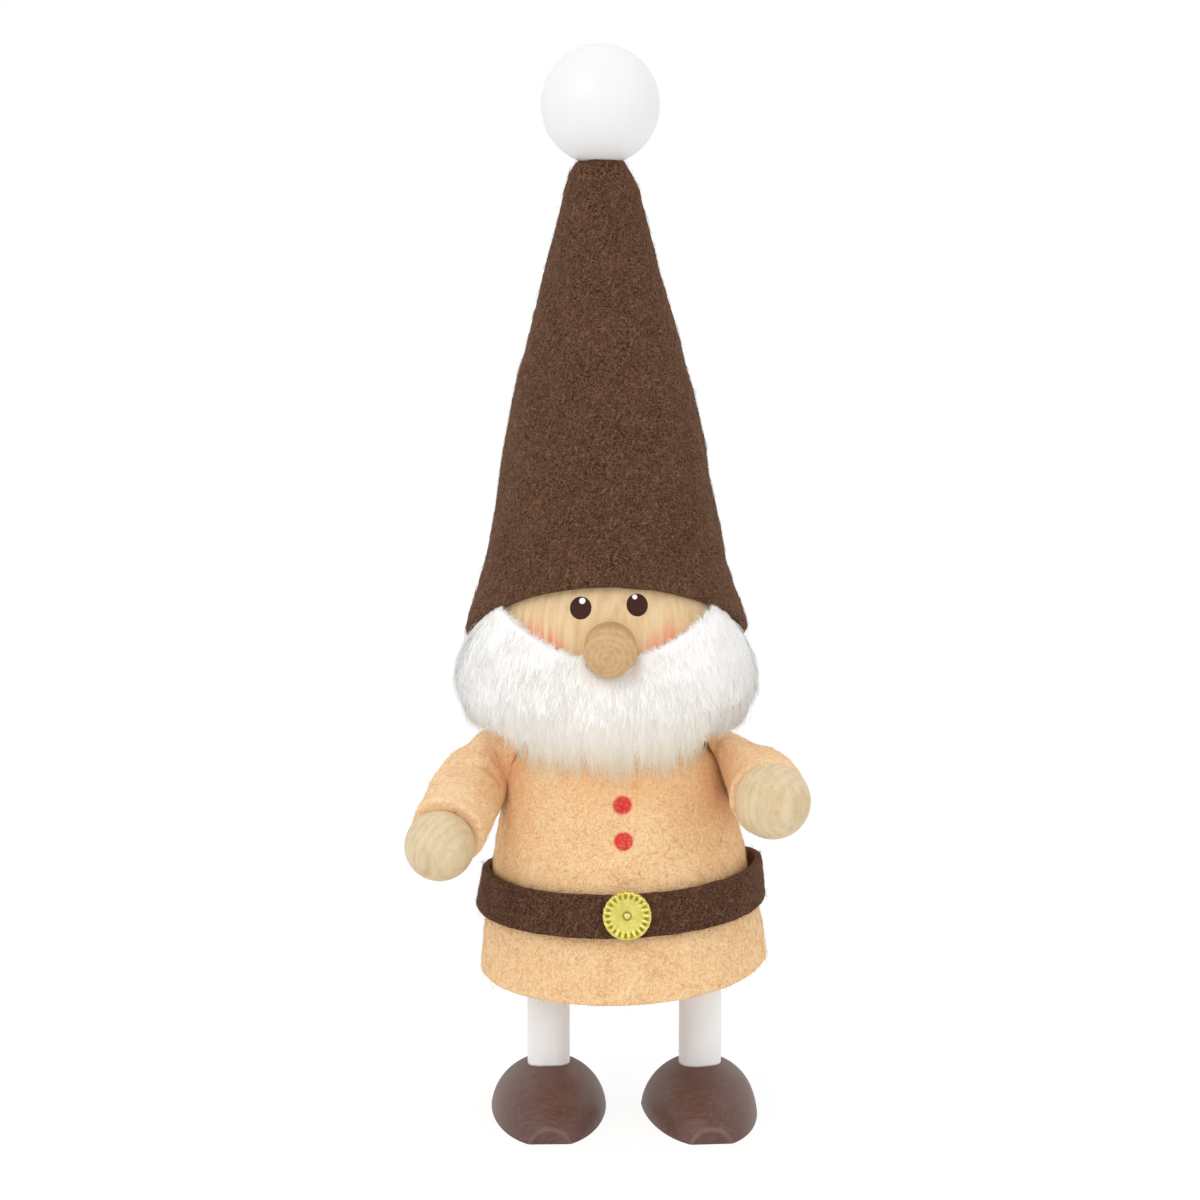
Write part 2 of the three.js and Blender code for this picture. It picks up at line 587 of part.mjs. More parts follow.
// Body, coat, belt and neck
doll.add(piece('body_core', bodyCore(), WOOD), piece('coat', coat(), PEACH_FELT));
const beltMesh = piece('belt', belt(), BROWN_FELT);
beltMesh.position.z = BELT_Z;
beltMesh.rotation.y = -radians(BELT_SLANT);
const buckleMesh = piece('buckle', buckle(), BRASS);
buckleMesh.position.z = BUCKLE_LIFT;
const pinMesh = piece('buckle_pin', bucklePin(), BRASS);
pinMesh.position.z = PIN_LIFT;
pinFrame.add(buckleMesh, pinMesh);
const neckTop = BODY_TOP_Z + FACE_GAP + NECK_IN_HEAD;
const neckMesh = piece('neck_dowel', dowel(NECK_RADIUS, BODY_TOP_Z - NECK_IN_BODY, neckTop), WOOD);
neckMesh.position.x = NECK_OFFSET;
doll.add(beltMesh, pinFrame, neckMesh);

// Legs and shoes
for (const [name, side, turn] of [['right', -1, RIGHT_TOE_TURN], ['left', 1, LEFT_TOE_TURN]]) {
  const foot = new THREE.Group();
  foot.position.x = legX(side);
  foot.rotation.z = radians(turn);
  foot.add(
    piece(`${name}_leg`, dowel(LEG_RADIUS, LEG_FLOOR, LEG_FLOOR + LEG_LENGTH), WHITE_PAINT),
    piece(`${name}_shoe`, shoe(), BROWN_PAINT),
  );
  doll.add(foot);
}

// Head, with the hat and its ball leaning a little
const headGroup = new THREE.Group();
headGroup.position.set(NECK_OFFSET, 0, HEAD_Z);
const noseMesh = piece('nose', nose(), WOOD);
noseMesh.position.set(NOSE_SHIFT, NOSE_IN_HEAD - HEAD_RADIUS, -NOSE_DROP);
noseMesh.rotation.x = Math.PI / 2;
const hatGroup = new THREE.Group();
hatGroup.rotation.y = -radians(HAT_LEAN);
hatGroup.add(
  piece('hat', hat(), BROWN_FELT),
  piece('hat_ball', hatBall(), WHITE_PAINT),
  piece('hat_ball_peg', ballPeg(), WOOD),
);
headGroup.add(piece('head', head(), WOOD), noseMesh, piece('beard', beard(), FUR), hatGroup);
doll.add(headGroup);

// Arms
for (const [name, arm] of [['right', RIGHT_ARM], ['left', LEFT_ARM]]) {
  const shoulder = new THREE.Group();
  shoulder.position.set(arm.side * SHOULDER_REACH, 0, SHOULDER_Z);
  shoulder.rotation.x = radians(arm.droop);
  shoulder.add(
    piece(`${name}_shoulder_peg`, shoulderPeg(arm), WOOD),
    piece(`${name}_hand`, hand(arm), WOOD),
    piece(`${name}_sleeve`, sleeve(arm), PEACH_FELT),
  );
  doll.add(shoulder);
}

export default doll;
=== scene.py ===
"""Finishes and soft pieces of a wooden gnome doll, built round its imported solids.

Metres, +Z up. The doll faces -Y, so its right hand is on the -X side.
"""

import json
import logging
import math
import random
from dataclasses import dataclass, field
from enum import Enum
from typing import Callable, Iterator, Sequence, Union

import bmesh
import bpy
from mathutils import Euler, Matrix, Quaternion, Vector, noise


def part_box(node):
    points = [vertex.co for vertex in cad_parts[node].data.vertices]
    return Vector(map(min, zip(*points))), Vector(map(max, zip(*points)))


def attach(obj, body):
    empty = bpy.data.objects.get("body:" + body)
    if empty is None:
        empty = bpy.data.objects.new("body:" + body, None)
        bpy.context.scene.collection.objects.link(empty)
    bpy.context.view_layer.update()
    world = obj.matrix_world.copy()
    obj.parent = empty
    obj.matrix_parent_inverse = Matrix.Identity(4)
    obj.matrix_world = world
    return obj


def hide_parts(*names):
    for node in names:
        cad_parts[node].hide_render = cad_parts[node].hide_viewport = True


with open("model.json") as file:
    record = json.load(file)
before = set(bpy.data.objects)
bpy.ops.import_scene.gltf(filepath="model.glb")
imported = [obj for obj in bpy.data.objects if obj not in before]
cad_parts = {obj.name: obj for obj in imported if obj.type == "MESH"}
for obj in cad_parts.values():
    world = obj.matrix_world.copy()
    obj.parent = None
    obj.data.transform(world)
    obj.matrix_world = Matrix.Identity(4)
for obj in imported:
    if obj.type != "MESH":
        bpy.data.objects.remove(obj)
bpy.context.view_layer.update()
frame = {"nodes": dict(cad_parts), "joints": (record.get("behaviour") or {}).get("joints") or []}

LOG = logging.getLogger("gnome_doll")
MM = 0.001
TURN = 2 * math.pi
MERGE = 1e-7
# The points' marks: worn edges, and painted shade in hollows and where parts meet.
WEAR_AND_SHADE = "wear"
DOWN = Vector((0, 0, -1))

Colour = tuple[float, float, float, float]
Points = list[tuple[float, float]]
Profile = Sequence[tuple[float, float]]
Placing = Callable[[float, float], Vector]
Growth = Iterator[tuple[str, list[Vector]]]
Input = Union[float, Sequence[float], bpy.types.NodeSocket]


class Side(Enum):
    """The doll's own right and left."""

    RIGHT = -1
    LEFT = 1

    @property
    def word(self) -> str:
        """The side as the frame's nodes spell it."""
        return self.name.lower()


class Body(Enum):
    """The bodies that move apart from each other."""

    TRUNK = "body"
    HEAD = "head"
    RIGHT_ARM = "right_arm"
    LEFT_ARM = "left_arm"


class Slot(Enum):
    """The record's material slots."""

    BEECH = "beech_wood"
    WHITE_PAINT = "white_paint"
    BROWN_STAIN = "brown_stain"
    PEACH_FELT = "peach_felt"
    BROWN_FELT = "brown_felt"
    FUR = "white_fur"
    BRASS = "brass"


def srgb(red: int, green: int, blue: int) -> Colour:
    """Turns a colour as a screen shows it into linear light.

    Args:
        red: Red, 0 to 255.
        green: Green, 0 to 255.
        blue: Blue, 0 to 255.

    Returns:
        Linear red, green, blue and an alpha of 1.
    """
    shares = [channel / 255 for channel in (red, green, blue)]
    linear = [s / 12.92 if s <= 0.04045 else ((s + 0.055) / 1.055) ** 2.4 for s in shares]
    return (*linear, 1.0)


def blend(low: float, high: float, share: float) -> float:
    """The number that lies at a share of the way from low to high."""
    return low + (high - low) * share


def smooth_step(low: float, high: float, value: float) -> float:
    """Rises smoothly from 0 at low to 1 at high."""
    share = min(max((value - low) / (high - low), 0.0), 1.0)
    return share * share * (3 - 2 * share)


def bump_at(value: float, middle: float, width: float) -> float:
    """A smooth hump of height 1 at middle, gone at width on either side."""
    return 1 - smooth_step(0, width, abs(value - middle))


# Finishes


class Nodes:
    """Short ways to add nodes to a node tree."""

    def __init__(self, tree: bpy.types.NodeTree) -> None:
        """Takes up a tree.

        Args:
            tree: The tree of a material or a world.
        """
        self.tree = tree

    def give(self, socket: bpy.types.NodeSocket, value: Input) -> None:
        """Joins a socket to another, or sets it to a plain value."""
        if isinstance(value, bpy.types.NodeSocket):
            self.tree.links.new(value, socket)
        else:
            socket.default_value = value

    def add(self, kind: str, inputs: dict | None = None, **settings) -> bpy.types.Node:
        """Adds a node.

        Args:
            kind: Blender's name for the node's type.
            inputs: Values or sockets by the names or numbers of the node's inputs.
            **settings: The node's own settings.

        Returns:
            The node.
        """
        node = self.tree.nodes.new(kind)
        for name, value in settings.items():
            setattr(node, name, value)
        for name, value in (inputs or {}).items():
            self.give(node.inputs[name], value)
        return node

    def sums(self, operation: str, first: Input, second: Input = 0.0) -> bpy.types.NodeSocket:
        """The result of one Math node."""
        return self.add("ShaderNodeMath", {0: first, 1: second}, operation=operation).outputs[0]

    def span(self, value: Input, low: float, high: float) -> bpy.types.NodeSocket:
        """The number between low and high at a share from 0 to 1."""
        return self.add("ShaderNodeMapRange", {"Value": value, "To Min": low, "To Max": high}).outputs[0]

    def backdrop(self) -> bpy.types.NodeSocket:
        """1 for rays that show the background, straight, in a reflection or through glass."""
        path = self.add("ShaderNodeLightPath").outputs
        shown = self.sums("MAXIMUM", path["Is Camera Ray"], path["Is Glossy Ray"])
        return self.sums("MAXIMUM", shown, path["Is Transmission Ray"])


class Bench(Nodes):
    """A new material and short ways to build it."""

    def __init__(self, name: str) -> None:
        """Starts a material.

        Args:
            name: The material's name.
        """
        self.material = bpy.data.materials.new(name)
        self.material.use_nodes = True
        super().__init__(self.material.node_tree)
        self.shader = self.tree.nodes["Principled BSDF"]
        self.place = self.add("ShaderNodeTexCoord").outputs["Object"]

    def dress(self, **inputs: Input) -> None:
        """Sets the shader's inputs, named with _ for a space."""
        for name, value in inputs.items():
            self.give(self.shader.inputs[name.replace("_", " ")], value)

    def noise(self, place: Input, size: float, detail: float = 2, roughness: float = 0.5) -> bpy.types.Node:
        """Adds cloudy noise.

        Args:
            place: The coordinates that it lies on.
            size: The size of its features, in the coordinates' units.
            detail: How many finer layers it has.
            roughness: How strong the finer layers are.

        Returns:
            The node, with a number as its first output and a colour as its second.
        """
        inputs = {"Vector": place, "Scale": 1 / size, "Detail": detail, "Roughness": roughness}
        return self.add("ShaderNodeTexNoise", inputs)

    def lay(self, place: Input, at: Sequence[float] = (0, 0, 0), turn: Sequence[float] = (0, 0, 0),
            size: Sequence[float] = (1, 1, 1)) -> bpy.types.NodeSocket:
        """Gives coordinates of a frame that is moved, turned and stretched.

        Args:
            place: The coordinates to start from.
            at: The frame's origin.
            turn: The frame's turn, as XYZ angles.
            size: The length of the frame's units.

        Returns:
            The coordinates in that frame.
        """
        inputs = {"Vector": place, "Location": at, "Rotation": turn, "Scale": size}
        return self.add("ShaderNodeMapping", inputs, vector_type="TEXTURE").outputs[0]

    def rise(self, value: Input, low: float, high: float) -> bpy.types.NodeSocket:
        """A number that rises smoothly from 0 where value is low to 1 where it is high."""
        inputs = {"Value": value, "From Min": low, "From Max": high}
        return self.add("ShaderNodeMapRange", inputs, interpolation_type="SMOOTHSTEP").outputs[0]

    def mix(self, share: Input, first: Input, second: Input, kind: str = "MIX") -> bpy.types.NodeSocket:
        """A colour between two colours.

        Args:
            share: 0 for the first colour, 1 for the second.
            first: The first colour.
            second: The second colour.
            kind: How the second colour is laid on the first.

        Returns:
            The mixed colour.
        """
        node = self.add("ShaderNodeMix", {0: share, 6: first, 7: second}, data_type="RGBA", blend_type=kind)
        return node.outputs[2]

    def bump(self, height: Input, depth: float) -> None:
        """Roughens the surface by a height from 0 to 1 over a depth in metres."""
        node = self.add("ShaderNodeBump", {"Height": height, "Distance": depth, "Strength": 1.0})
        self.dress(Normal=node.outputs[0])

    def wear(self) -> bpy.types.NodeSocket:
        """The marks that the shape's points carry: worn edges, and painted shade in hollows and where parts
        meet.
        """
        return self.add("ShaderNodeAttribute", attribute_name=WEAR_AND_SHADE).outputs["Fac"]


@dataclass(frozen=True)
class Spot:
    """A dab of paint, blush or painted shade on a surface that faces the front."""

    at: Vector
    half_width: float
    half_height: float
    colour: Colour
    tilt: float = 0.0
    depth: float = 8 * MM
    edge: float = 0.25
    strength: float = 1.0


@dataclass(frozen=True)
class Felt:
    """Pressed wool felt: curly fibres that cross over darker pits."""

    name: str
    shade: Colour
    ground: Colour
    fibre: Colour
    sheen: float
    sheen_tint: Colour
    spots: tuple[Spot, ...] = ()
    fibre_width: float = 0.22 * MM
    fibre_length: float = 7.0
    curl: float = 0.9 * MM
    curl_reach: float = 0.6 * MM
    pit: float = 0.34 * MM
    mottle: float = 4.0 * MM
    depth: float = 0.18 * MM

    TURNS = ((0.3, 0.2, 0.5), (1.2, 0.4, 2.0), (0.5, 1.1, 3.6), (2.0, 0.7, 1.1))

    def material(self) -> bpy.types.Material:
        """Makes the felt's material."""
        bench = Bench(self.name)
        wander = bench.noise(bench.place, self.curl, 1).outputs[1]
        centred = bench.add("ShaderNodeVectorMath", {0: wander, 1: (0.5, 0.5, 0.5)}, operation="SUBTRACT")
        scaled = {0: centred.outputs[0], "Scale": self.curl_reach}
        reach = bench.add("ShaderNodeVectorMath", scaled, operation="SCALE")
        curly = bench.add("ShaderNodeVectorMath", {0: bench.place, 1: reach.outputs[0]}).outputs[0]
        fibres: Input = 0.0
        for turn in self.TURNS:
            along = bench.lay(curly, turn=turn, size=(self.fibre_length, 1, 1))
            fibres = bench.sums("MAXIMUM", fibres, bench.noise(along, self.fibre_width, 1).outputs[0])
        pits = bench.noise(curly, self.pit, 2, 0.6).outputs[0]
        mottle = bench.noise(bench.place, self.mottle, 2).outputs[0]
        worn = bench.sums("ADD", pits, bench.sums("MULTIPLY", mottle, 0.25))
        ground = bench.mix(bench.rise(worn, 0.46, 0.74), self.shade, self.ground)
        colour = bench.mix(bench.rise(fibres, 0.54, 0.8), ground, self.fibre)
        for spot in self.spots:
            colour = paint_spot(bench, colour, spot, fibres)
        bench.dress(Base_Color=colour, Roughness=1.0, Specular_IOR_Level=0.1, Sheen_Weight=self.sheen,
                    Sheen_Roughness=0.45, Sheen_Tint=self.sheen_tint)
        bench.bump(fibres, self.depth)
        return bench.material


def paint_spot(bench: Bench, colour: Input, spot: Spot, ragged: Input) -> bpy.types.NodeSocket:
    """Lays a spot with a ragged edge over a colour.

    Args:
        bench: The material's bench.
        colour: The colour under the spot.
        spot: The spot.
        ragged: A number from 0 to 1 that frays the spot's edge.

    Returns:
        The colour with the spot on it.
    """
    size = (spot.half_width, spot.depth, spot.half_height)
    inside = bench.lay(bench.place, at=spot.at, turn=(0, spot.tilt, 0), size=size)
    length = bench.add("ShaderNodeVectorMath", {0: inside}, operation="LENGTH").outputs["Value"]
    frayed = bench.sums("ADD", length, bench.sums("MULTIPLY", ragged, spot.edge))
    cover = bench.sums("SUBTRACT", 1.0, bench.rise(frayed, 1.0 - spot.edge, 1.0 + spot.edge))
    streaky = bench.sums("MULTIPLY", cover, bench.rise(ragged, 0.3, 0.6))
    return bench.mix(bench.sums("MULTIPLY", streaky, spot.strength), colour, spot.colour)


@dataclass(frozen=True)
class Wood:
    """Bare wood with growth rings round a pith and fibres along the grain."""

    name: str
    pale: Colour
    deep: Colour
    pith: Vector
    grain: Euler
    ring_gap: float
    ring_strength: float = 0.7
    waver: float = 2.2
    roughness: float = 0.55
    pore_width: float = 0.16 * MM
    pore_length: float = 14.0
    depth: float = 0.03 * MM
    blushes: tuple[Spot, ...] = ()

    WAVES_PER_UNIT = 20 / TURN

    def material(self) -> bpy.types.Material:
        """Makes the wood's material."""
        bench = Bench(self.name)
        along = bench.lay(bench.place, at=self.pith, turn=self.grain)
        waves = {
            "Vector": along, "Scale": 1 / self.ring_gap / self.WAVES_PER_UNIT, "Distortion": self.waver,
            "Detail": 2.0, "Detail Scale": 0.35, "Detail Roughness": 0.5,
        }
        rings = bench.add("ShaderNodeTexWave", waves, wave_type="RINGS", rings_direction="Z").outputs["Fac"]
        streaks = bench.lay(along, size=(1, 1, self.pore_length))
        fine = bench.noise(streaks, self.pore_width, 3, 0.65).outputs[0]
        broad = bench.noise(streaks, 5 * self.pore_width, 2).outputs[0]
        ringed = bench.sums("MULTIPLY", bench.rise(rings, 0.25, 1.0), self.ring_strength)
        shade = bench.sums("ADD", ringed, bench.sums("MULTIPLY", bench.rise(broad, 0.35, 0.7), 0.4))
        colour = bench.mix(shade, self.pale, self.deep)
        flecks = bench.rise(fine, 0.52, 0.72)
        colour = bench.mix(bench.sums("MULTIPLY", flecks, 0.3), colour, self.deep, "MULTIPLY")
        for blush in self.blushes:
            colour = paint_spot(bench, colour, blush, broad)
        bench.dress(Base_Color=colour, Roughness=self.roughness, Specular_IOR_Level=0.35)
        bench.bump(fine, self.depth)
        return bench.material


@dataclass(frozen=True)
class Paint:
    """Satin paint or stain on turned wood, with the grain showing through a little and, at marked points,
    worn edges and painted contact shadow.
    """

    name: str
    colour: Colour
    thin: Colour
    roughness: float
    worn: Colour = (0.8, 0.8, 0.8, 1.0)
    grain: Euler = field(default_factory=Euler)
    streak_width: float = 0.4 * MM
    streak_length: float = 9.0
    streak_strength: float = 0.6
    cloud: float = 5 * MM
    depth: float = 0.02 * MM
    gloss: float = 0.5

    def material(self) -> bpy.types.Material:
        """Makes the paint's material."""
        bench = Bench(self.name)
        along = bench.lay(bench.place, turn=self.grain, size=(1, 1, self.streak_length))
        streaks = bench.noise(along, self.streak_width, 3, 0.6).outputs[0]
        clouds = bench.noise(bench.place, self.cloud, 2).outputs[0]
        share = bench.sums("MULTIPLY", bench.rise(streaks, 0.4, 0.72), self.streak_strength)
        share = bench.sums("ADD", share, bench.sums("MULTIPLY", bench.rise(clouds, 0.4, 0.7), 0.25))
        # Marked points take the mark tone: worn edges on the shoes, a painted contact shadow round the legs.
        rub_and_shade = bench.sums("MULTIPLY", bench.wear(), bench.rise(clouds, 0.2, 0.6))
        colour = bench.mix(rub_and_shade, bench.mix(share, self.colour, self.thin), self.worn)
        rough = bench.span(bench.rise(streaks, 0.3, 0.8), self.roughness - 0.06, self.roughness + 0.08)
        bench.dress(Base_Color=colour, Roughness=rough, Specular_IOR_Level=self.gloss)
        bench.bump(streaks, self.depth)
        return bench.material


@dataclass(frozen=True)
class Brass:
    """Bright stamped brass with fine scratches, and painted shade in its hollows."""

    name: str
    bright: Colour
    dull: Colour
    hollow: Colour
    roughness: float
    scratch: float = 0.12 * MM
    cloud: float = 0.8 * MM
    depth: float = 0.008 * MM

    def material(self) -> bpy.types.Material:
        """Makes the brass's material."""
        bench = Bench(self.name)
        along = bench.lay(bench.place, turn=(0, 0.6, 0), size=(8, 1, 1))
        scratches = bench.noise(along, self.scratch, 2).outputs[0]
        clouds = bench.noise(bench.place, self.cloud, 3).outputs[0]
        rough = bench.span(scratches, self.roughness - 0.08, self.roughness + 0.12)
        metal = bench.mix(bench.rise(clouds, 0.35, 0.7), self.bright, self.dull)
        # Painted shade: the marked hollows of the flutes and the ring round the pin take the dark hollow
        # colour.
        colour = bench.mix(bench.wear(), metal, self.hollow)
        bench.dress(Base_Color=colour, Roughness=rough, Metallic=1.0)
        bench.bump(scratches, self.depth)
        return bench.material


@dataclass(frozen=True)
class Fur:
    """Soft white fur, whose thin ends may take a painted light: the colour of the cloth behind them, as if it
    shone through.
    """

    name: str
    bright: Colour
    shade: Colour
    ends: Colour | None = None
    ends_span: tuple[float, float] = (0.0, 1.0)
    lock_width: float = 0.35 * MM
    lock_length: float = 5.0
    depth: float = 0.03 * MM

    def material(self) -> bpy.types.Material:
        """Makes the fur's material."""
        bench = Bench(self.name)
        along = bench.lay(bench.place, size=(1, 1, self.lock_length))
        locks = bench.noise(along, self.lock_width, 2).outputs[0]
        colour = bench.mix(bench.rise(locks, 0.35, 0.75), self.bright, self.shade)
        # Painted light: the lower ends take the colour of the cloth behind them, as if it shone through the
        # hairs.
        if self.ends:
            height = bench.add("ShaderNodeSeparateXYZ", {0: bench.place}).outputs["Z"]
            colour = bench.mix(bench.rise(height, *self.ends_span), self.ends, colour)
        bench.dress(Base_Color=colour, Roughness=0.9, Specular_IOR_Level=0.2, Sheen_Weight=0.2,
                    Sheen_Roughness=0.5)
        bench.bump(locks, self.depth)
        return bench.material


# Shapes


def arc(radius: float, reach: float, height: float, start: float, end: float, steps: int) -> Points:
    """Points of an ellipse's arc about a point on the axis.

    Args:
        radius: The half-axis out from the axis.
        reach: The half-axis along the axis.
        height: Where on the axis the middle lies.
        start: Degrees above the level at which the arc starts.
        end: Degrees at which it ends.
        steps: How many steps it takes.

    Returns:
        The points, as radius and height.
    """
    angles = [math.radians(blend(start, end, i / steps)) for i in range(steps + 1)]
    return [(max(radius * math.cos(a), 0.0), height + reach * math.sin(a)) for a in angles]


def curve_through(points: Profile, steps: int) -> Points:
    """A smooth line through points, with a few steps between each pair."""
    ends = [points[0], *points, points[-1]]
    line = []
    for a, b, c, d in zip(ends, ends[1:], ends[2:], ends[3:]):
        for i in range(steps):
            t = i / steps
            line.append(tuple(
                0.5 * (2 * q + (r - p) * t
                       + (2 * p - 5 * q + 4 * r - s) * t * t
                       + (3 * q - p - 3 * r + s) * t ** 3)
                for p, q, r, s in zip(a, b, c, d)
            ))
    return [*line, tuple(points[-1])]


def radius_at(profile: Profile, height: float) -> float:
    """The radius of an upward profile at a height, held at its ends."""
    if height <= profile[0][1]:
        return profile[0][0]
    for (low, bottom), (high, top) in zip(profile, profile[1:]):
        if height <= top:
            return blend(low, high, (height - bottom) / max(top - bottom, MERGE))
    return profile[-1][0]


def spun(line: Sequence[Sequence[float]], sides: int) -> bmesh.types.BMesh:
    """Spins a line of points once round the Z axis into a surface."""
    bm = bmesh.new()
    stem = [bm.verts.new(point) for point in line]
    edges = [bm.edges.new(pair) for pair in zip(stem, stem[1:])]
    bmesh.ops.spin(bm, geom=stem + edges, cent=(0, 0, 0), axis=(0, 0, 1), angle=TURN, steps=sides,
                   use_merge=True)
    return bm


def round_axis(radius: float, angle: float, height: float) -> Vector:
    """The point at a radius from the Z axis, an angle from the front and a height."""
    return Vector((radius * math.sin(angle), -radius * math.cos(angle), height))


def turned(profile: Profile, sides: int) -> bmesh.types.BMesh:
    """Turns a profile about the Z axis, as on a lathe.

    Args:
        profile: Points as radius and height.
        sides: How many steps a full turn takes.

    Returns:
        The turned shape.
    """
    bm = spun([(radius, 0, height) for radius, height in profile], sides)
    bmesh.ops.remove_doubles(bm, verts=bm.verts, dist=MERGE)
    bmesh.ops.recalc_face_normals(bm, faces=bm.faces)
    return bm


def skin(rows: int, sides: int, place: Placing) -> bmesh.types.BMesh:
    """Makes an open tube and puts each point where a rule says.

    Args:
        rows: How many rows of faces it has.
        sides: How many faces go round.
        place: Gives a point from its angle from the front, towards the doll's left, and its share
            of the way up.

    Returns:
        The tube, with its faces outwards.
    """
    bm = spun([(0, -1, i / rows) for i in range(rows + 1)], sides)
    bmesh.ops.recalc_face_normals(bm, faces=bm.faces)
    face = bm.faces[:][0]
    if face.normal.dot(face.calc_center_median().to_2d().to_3d()) < 0:
        bmesh.ops.reverse_faces(bm, faces=bm.faces)
    for vert in bm.verts:
        vert.co = place(math.atan2(vert.co.x, -vert.co.y), vert.co.z)
    bm.normal_update()
    return bm


def ring(section: int, sides: int, opening: float, place: Placing) -> bmesh.types.BMesh:
    """Makes a solid strip round the Z axis, open at the front, and puts each point where a rule says.

    Args:
        section: How many points go round the strip's section.
        sides: How many faces go round the axis.
        opening: The angle that is left open on either side of the front.
        place: Gives a point from its angle from the front and its angle round the section.

    Returns:
        The closed strip.
    """
    bm = bmesh.new()
    hub = 4.0
    made = bmesh.ops.create_circle(bm, segments=section, radius=1.0)
    upright = Matrix.Translation((hub, 0, 0)) @ Matrix.Rotation(TURN / 4, 4, "X")
    turn = Matrix.Rotation(opening - TURN / 4, 4, "Z")
    bmesh.ops.transform(bm, matrix=turn @ upright, verts=made["verts"])
    bmesh.ops.spin(bm, geom=bm.verts[:] + bm.edges[:], cent=(0, 0, 0), axis=(0, 0, 1),
                   angle=TURN - 2 * opening, steps=sides)
    bmesh.ops.holes_fill(bm, edges=[edge for edge in bm.edges if edge.is_boundary])
    bmesh.ops.recalc_face_normals(bm, faces=bm.faces)
    for vert in bm.verts:
        angle = math.atan2(vert.co.x, -vert.co.y) % TURN
        vert.co = place(angle, math.atan2(vert.co.z, vert.co.to_2d().length - hub))
    bm.normal_update()
    return bm


def ruffle(bm: bmesh.types.BMesh, size: float, height: float, seed: float) -> None:
    """Moves points in and out along their normals by smooth noise.

    Args:
        bm: The shape to change.
        size: How far apart the noise's lumps lie.
        height: How far they reach.
        seed: Where in the noise the shape lies.
    """
    shift = Vector((seed, 2 * seed, 3 * seed))
    for vert in bm.verts:
        vert.co += vert.normal * (height * noise.fractal(vert.co / size + shift, 1.0, 2.0, 3))
    bm.normal_update()


def put_in_order(bm: bmesh.types.BMesh) -> None:
    """Sorts a shape's points and faces by place, since Blender's operators leave them in varying order."""
    places = (
        (bm.verts, lambda vert: vert.co[:]),
        (bm.faces, lambda face: face.calc_center_median()[:]),
    )
    for parts, place in places:
        ranks = {part: rank for rank, part in enumerate(sorted(parts, key=place))}
        parts.sort(key=ranks.get)
        parts.index_update()


def add_piece(bm: bmesh.types.BMesh, name: str, finish: bpy.types.Material, body: Body, slot: Slot,
              stands_for: Sequence[str] = ()) -> bpy.types.Object:
    """Makes a piece of the doll from a shape.

    Args:
        bm: The shape, which is freed.
        name: The piece's name.
        finish: Its material.
        body: The body that it moves with.
        slot: The record's slot for its finish; not used.
        stands_for: The solids that it takes the place of.

    Returns:
        The piece.
    """
    mesh = bpy.data.meshes.new(name)
    put_in_order(bm)
    bm.to_mesh(mesh)
    bm.free()
    return add_mesh(mesh, name, finish, body, slot, stands_for)


def add_mesh(mesh: bpy.types.Mesh, name: str, finish: bpy.types.Material, body: Body, slot: Slot,
             stands_for: Sequence[str] = ()) -> bpy.types.Object:
    """Makes a piece of the doll from a mesh, with the same arguments as add_piece."""
    mesh.shade_smooth()
    mesh.materials.clear()
    mesh.materials.append(finish)
    piece = bpy.data.objects.new(name, mesh)
    bpy.context.scene.collection.objects.link(piece)
    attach(piece, body.value)
    if stands_for:
        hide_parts(*stands_for)
    LOG.info("%s on %s, %d faces", name, body.value, len(mesh.polygons))
    return piece


def thicken(piece: bpy.types.Object, felt: float) -> None:
    """Gives a felt skin its thickness, inwards, and rounds its cut edges."""
    wall = piece.modifiers.new("felt", "SOLIDIFY")
    wall.thickness = felt
    wall.offset = -1
    wall.use_even_offset = True
    round_edges = piece.modifiers.new("soft_edges", "SUBSURF")
    round_edges.levels = 1
    round_edges.render_levels = 1


# Hairs


def fans(mesh: bpy.types.Mesh) -> list[tuple[Vector, Vector, Vector]]:
    """The faces of a mesh, each cut into triangles from its first point in the mesh's order."""
    triangles = []
    for face in sorted(mesh.polygons, key=lambda face: sorted(face.vertices)):
        loop = list(face.vertices)
        start = loop.index(min(loop))
        first, *others = [mesh.vertices[i].co for i in loop[start:] + loop[:start]]
        triangles += [(first, second, third) for second, third in zip(others, others[1:])]
    return triangles


def scatter(mesh: bpy.types.Mesh, count: int, dice: random.Random) -> Iterator[tuple[Vector, Vector]]:
    """Picks points spread evenly over a mesh.

    Args:
        mesh: The mesh.
        count: How many points to pick.
        dice: The source of chance.

    Yields:
        A point and the surface's normal there.
    """
    triangles = fans(mesh)
    areas = [(b - a).cross(c - a).length for a, b, c in triangles]
    for a, b, c in dice.choices(triangles, weights=areas, k=count):
        u, v = dice.random(), dice.random()
        if u + v > 1:
            u, v = 1 - u, 1 - v
        yield a + (b - a) * u + (c - a) * v, (b - a).cross(c - a).normalized()


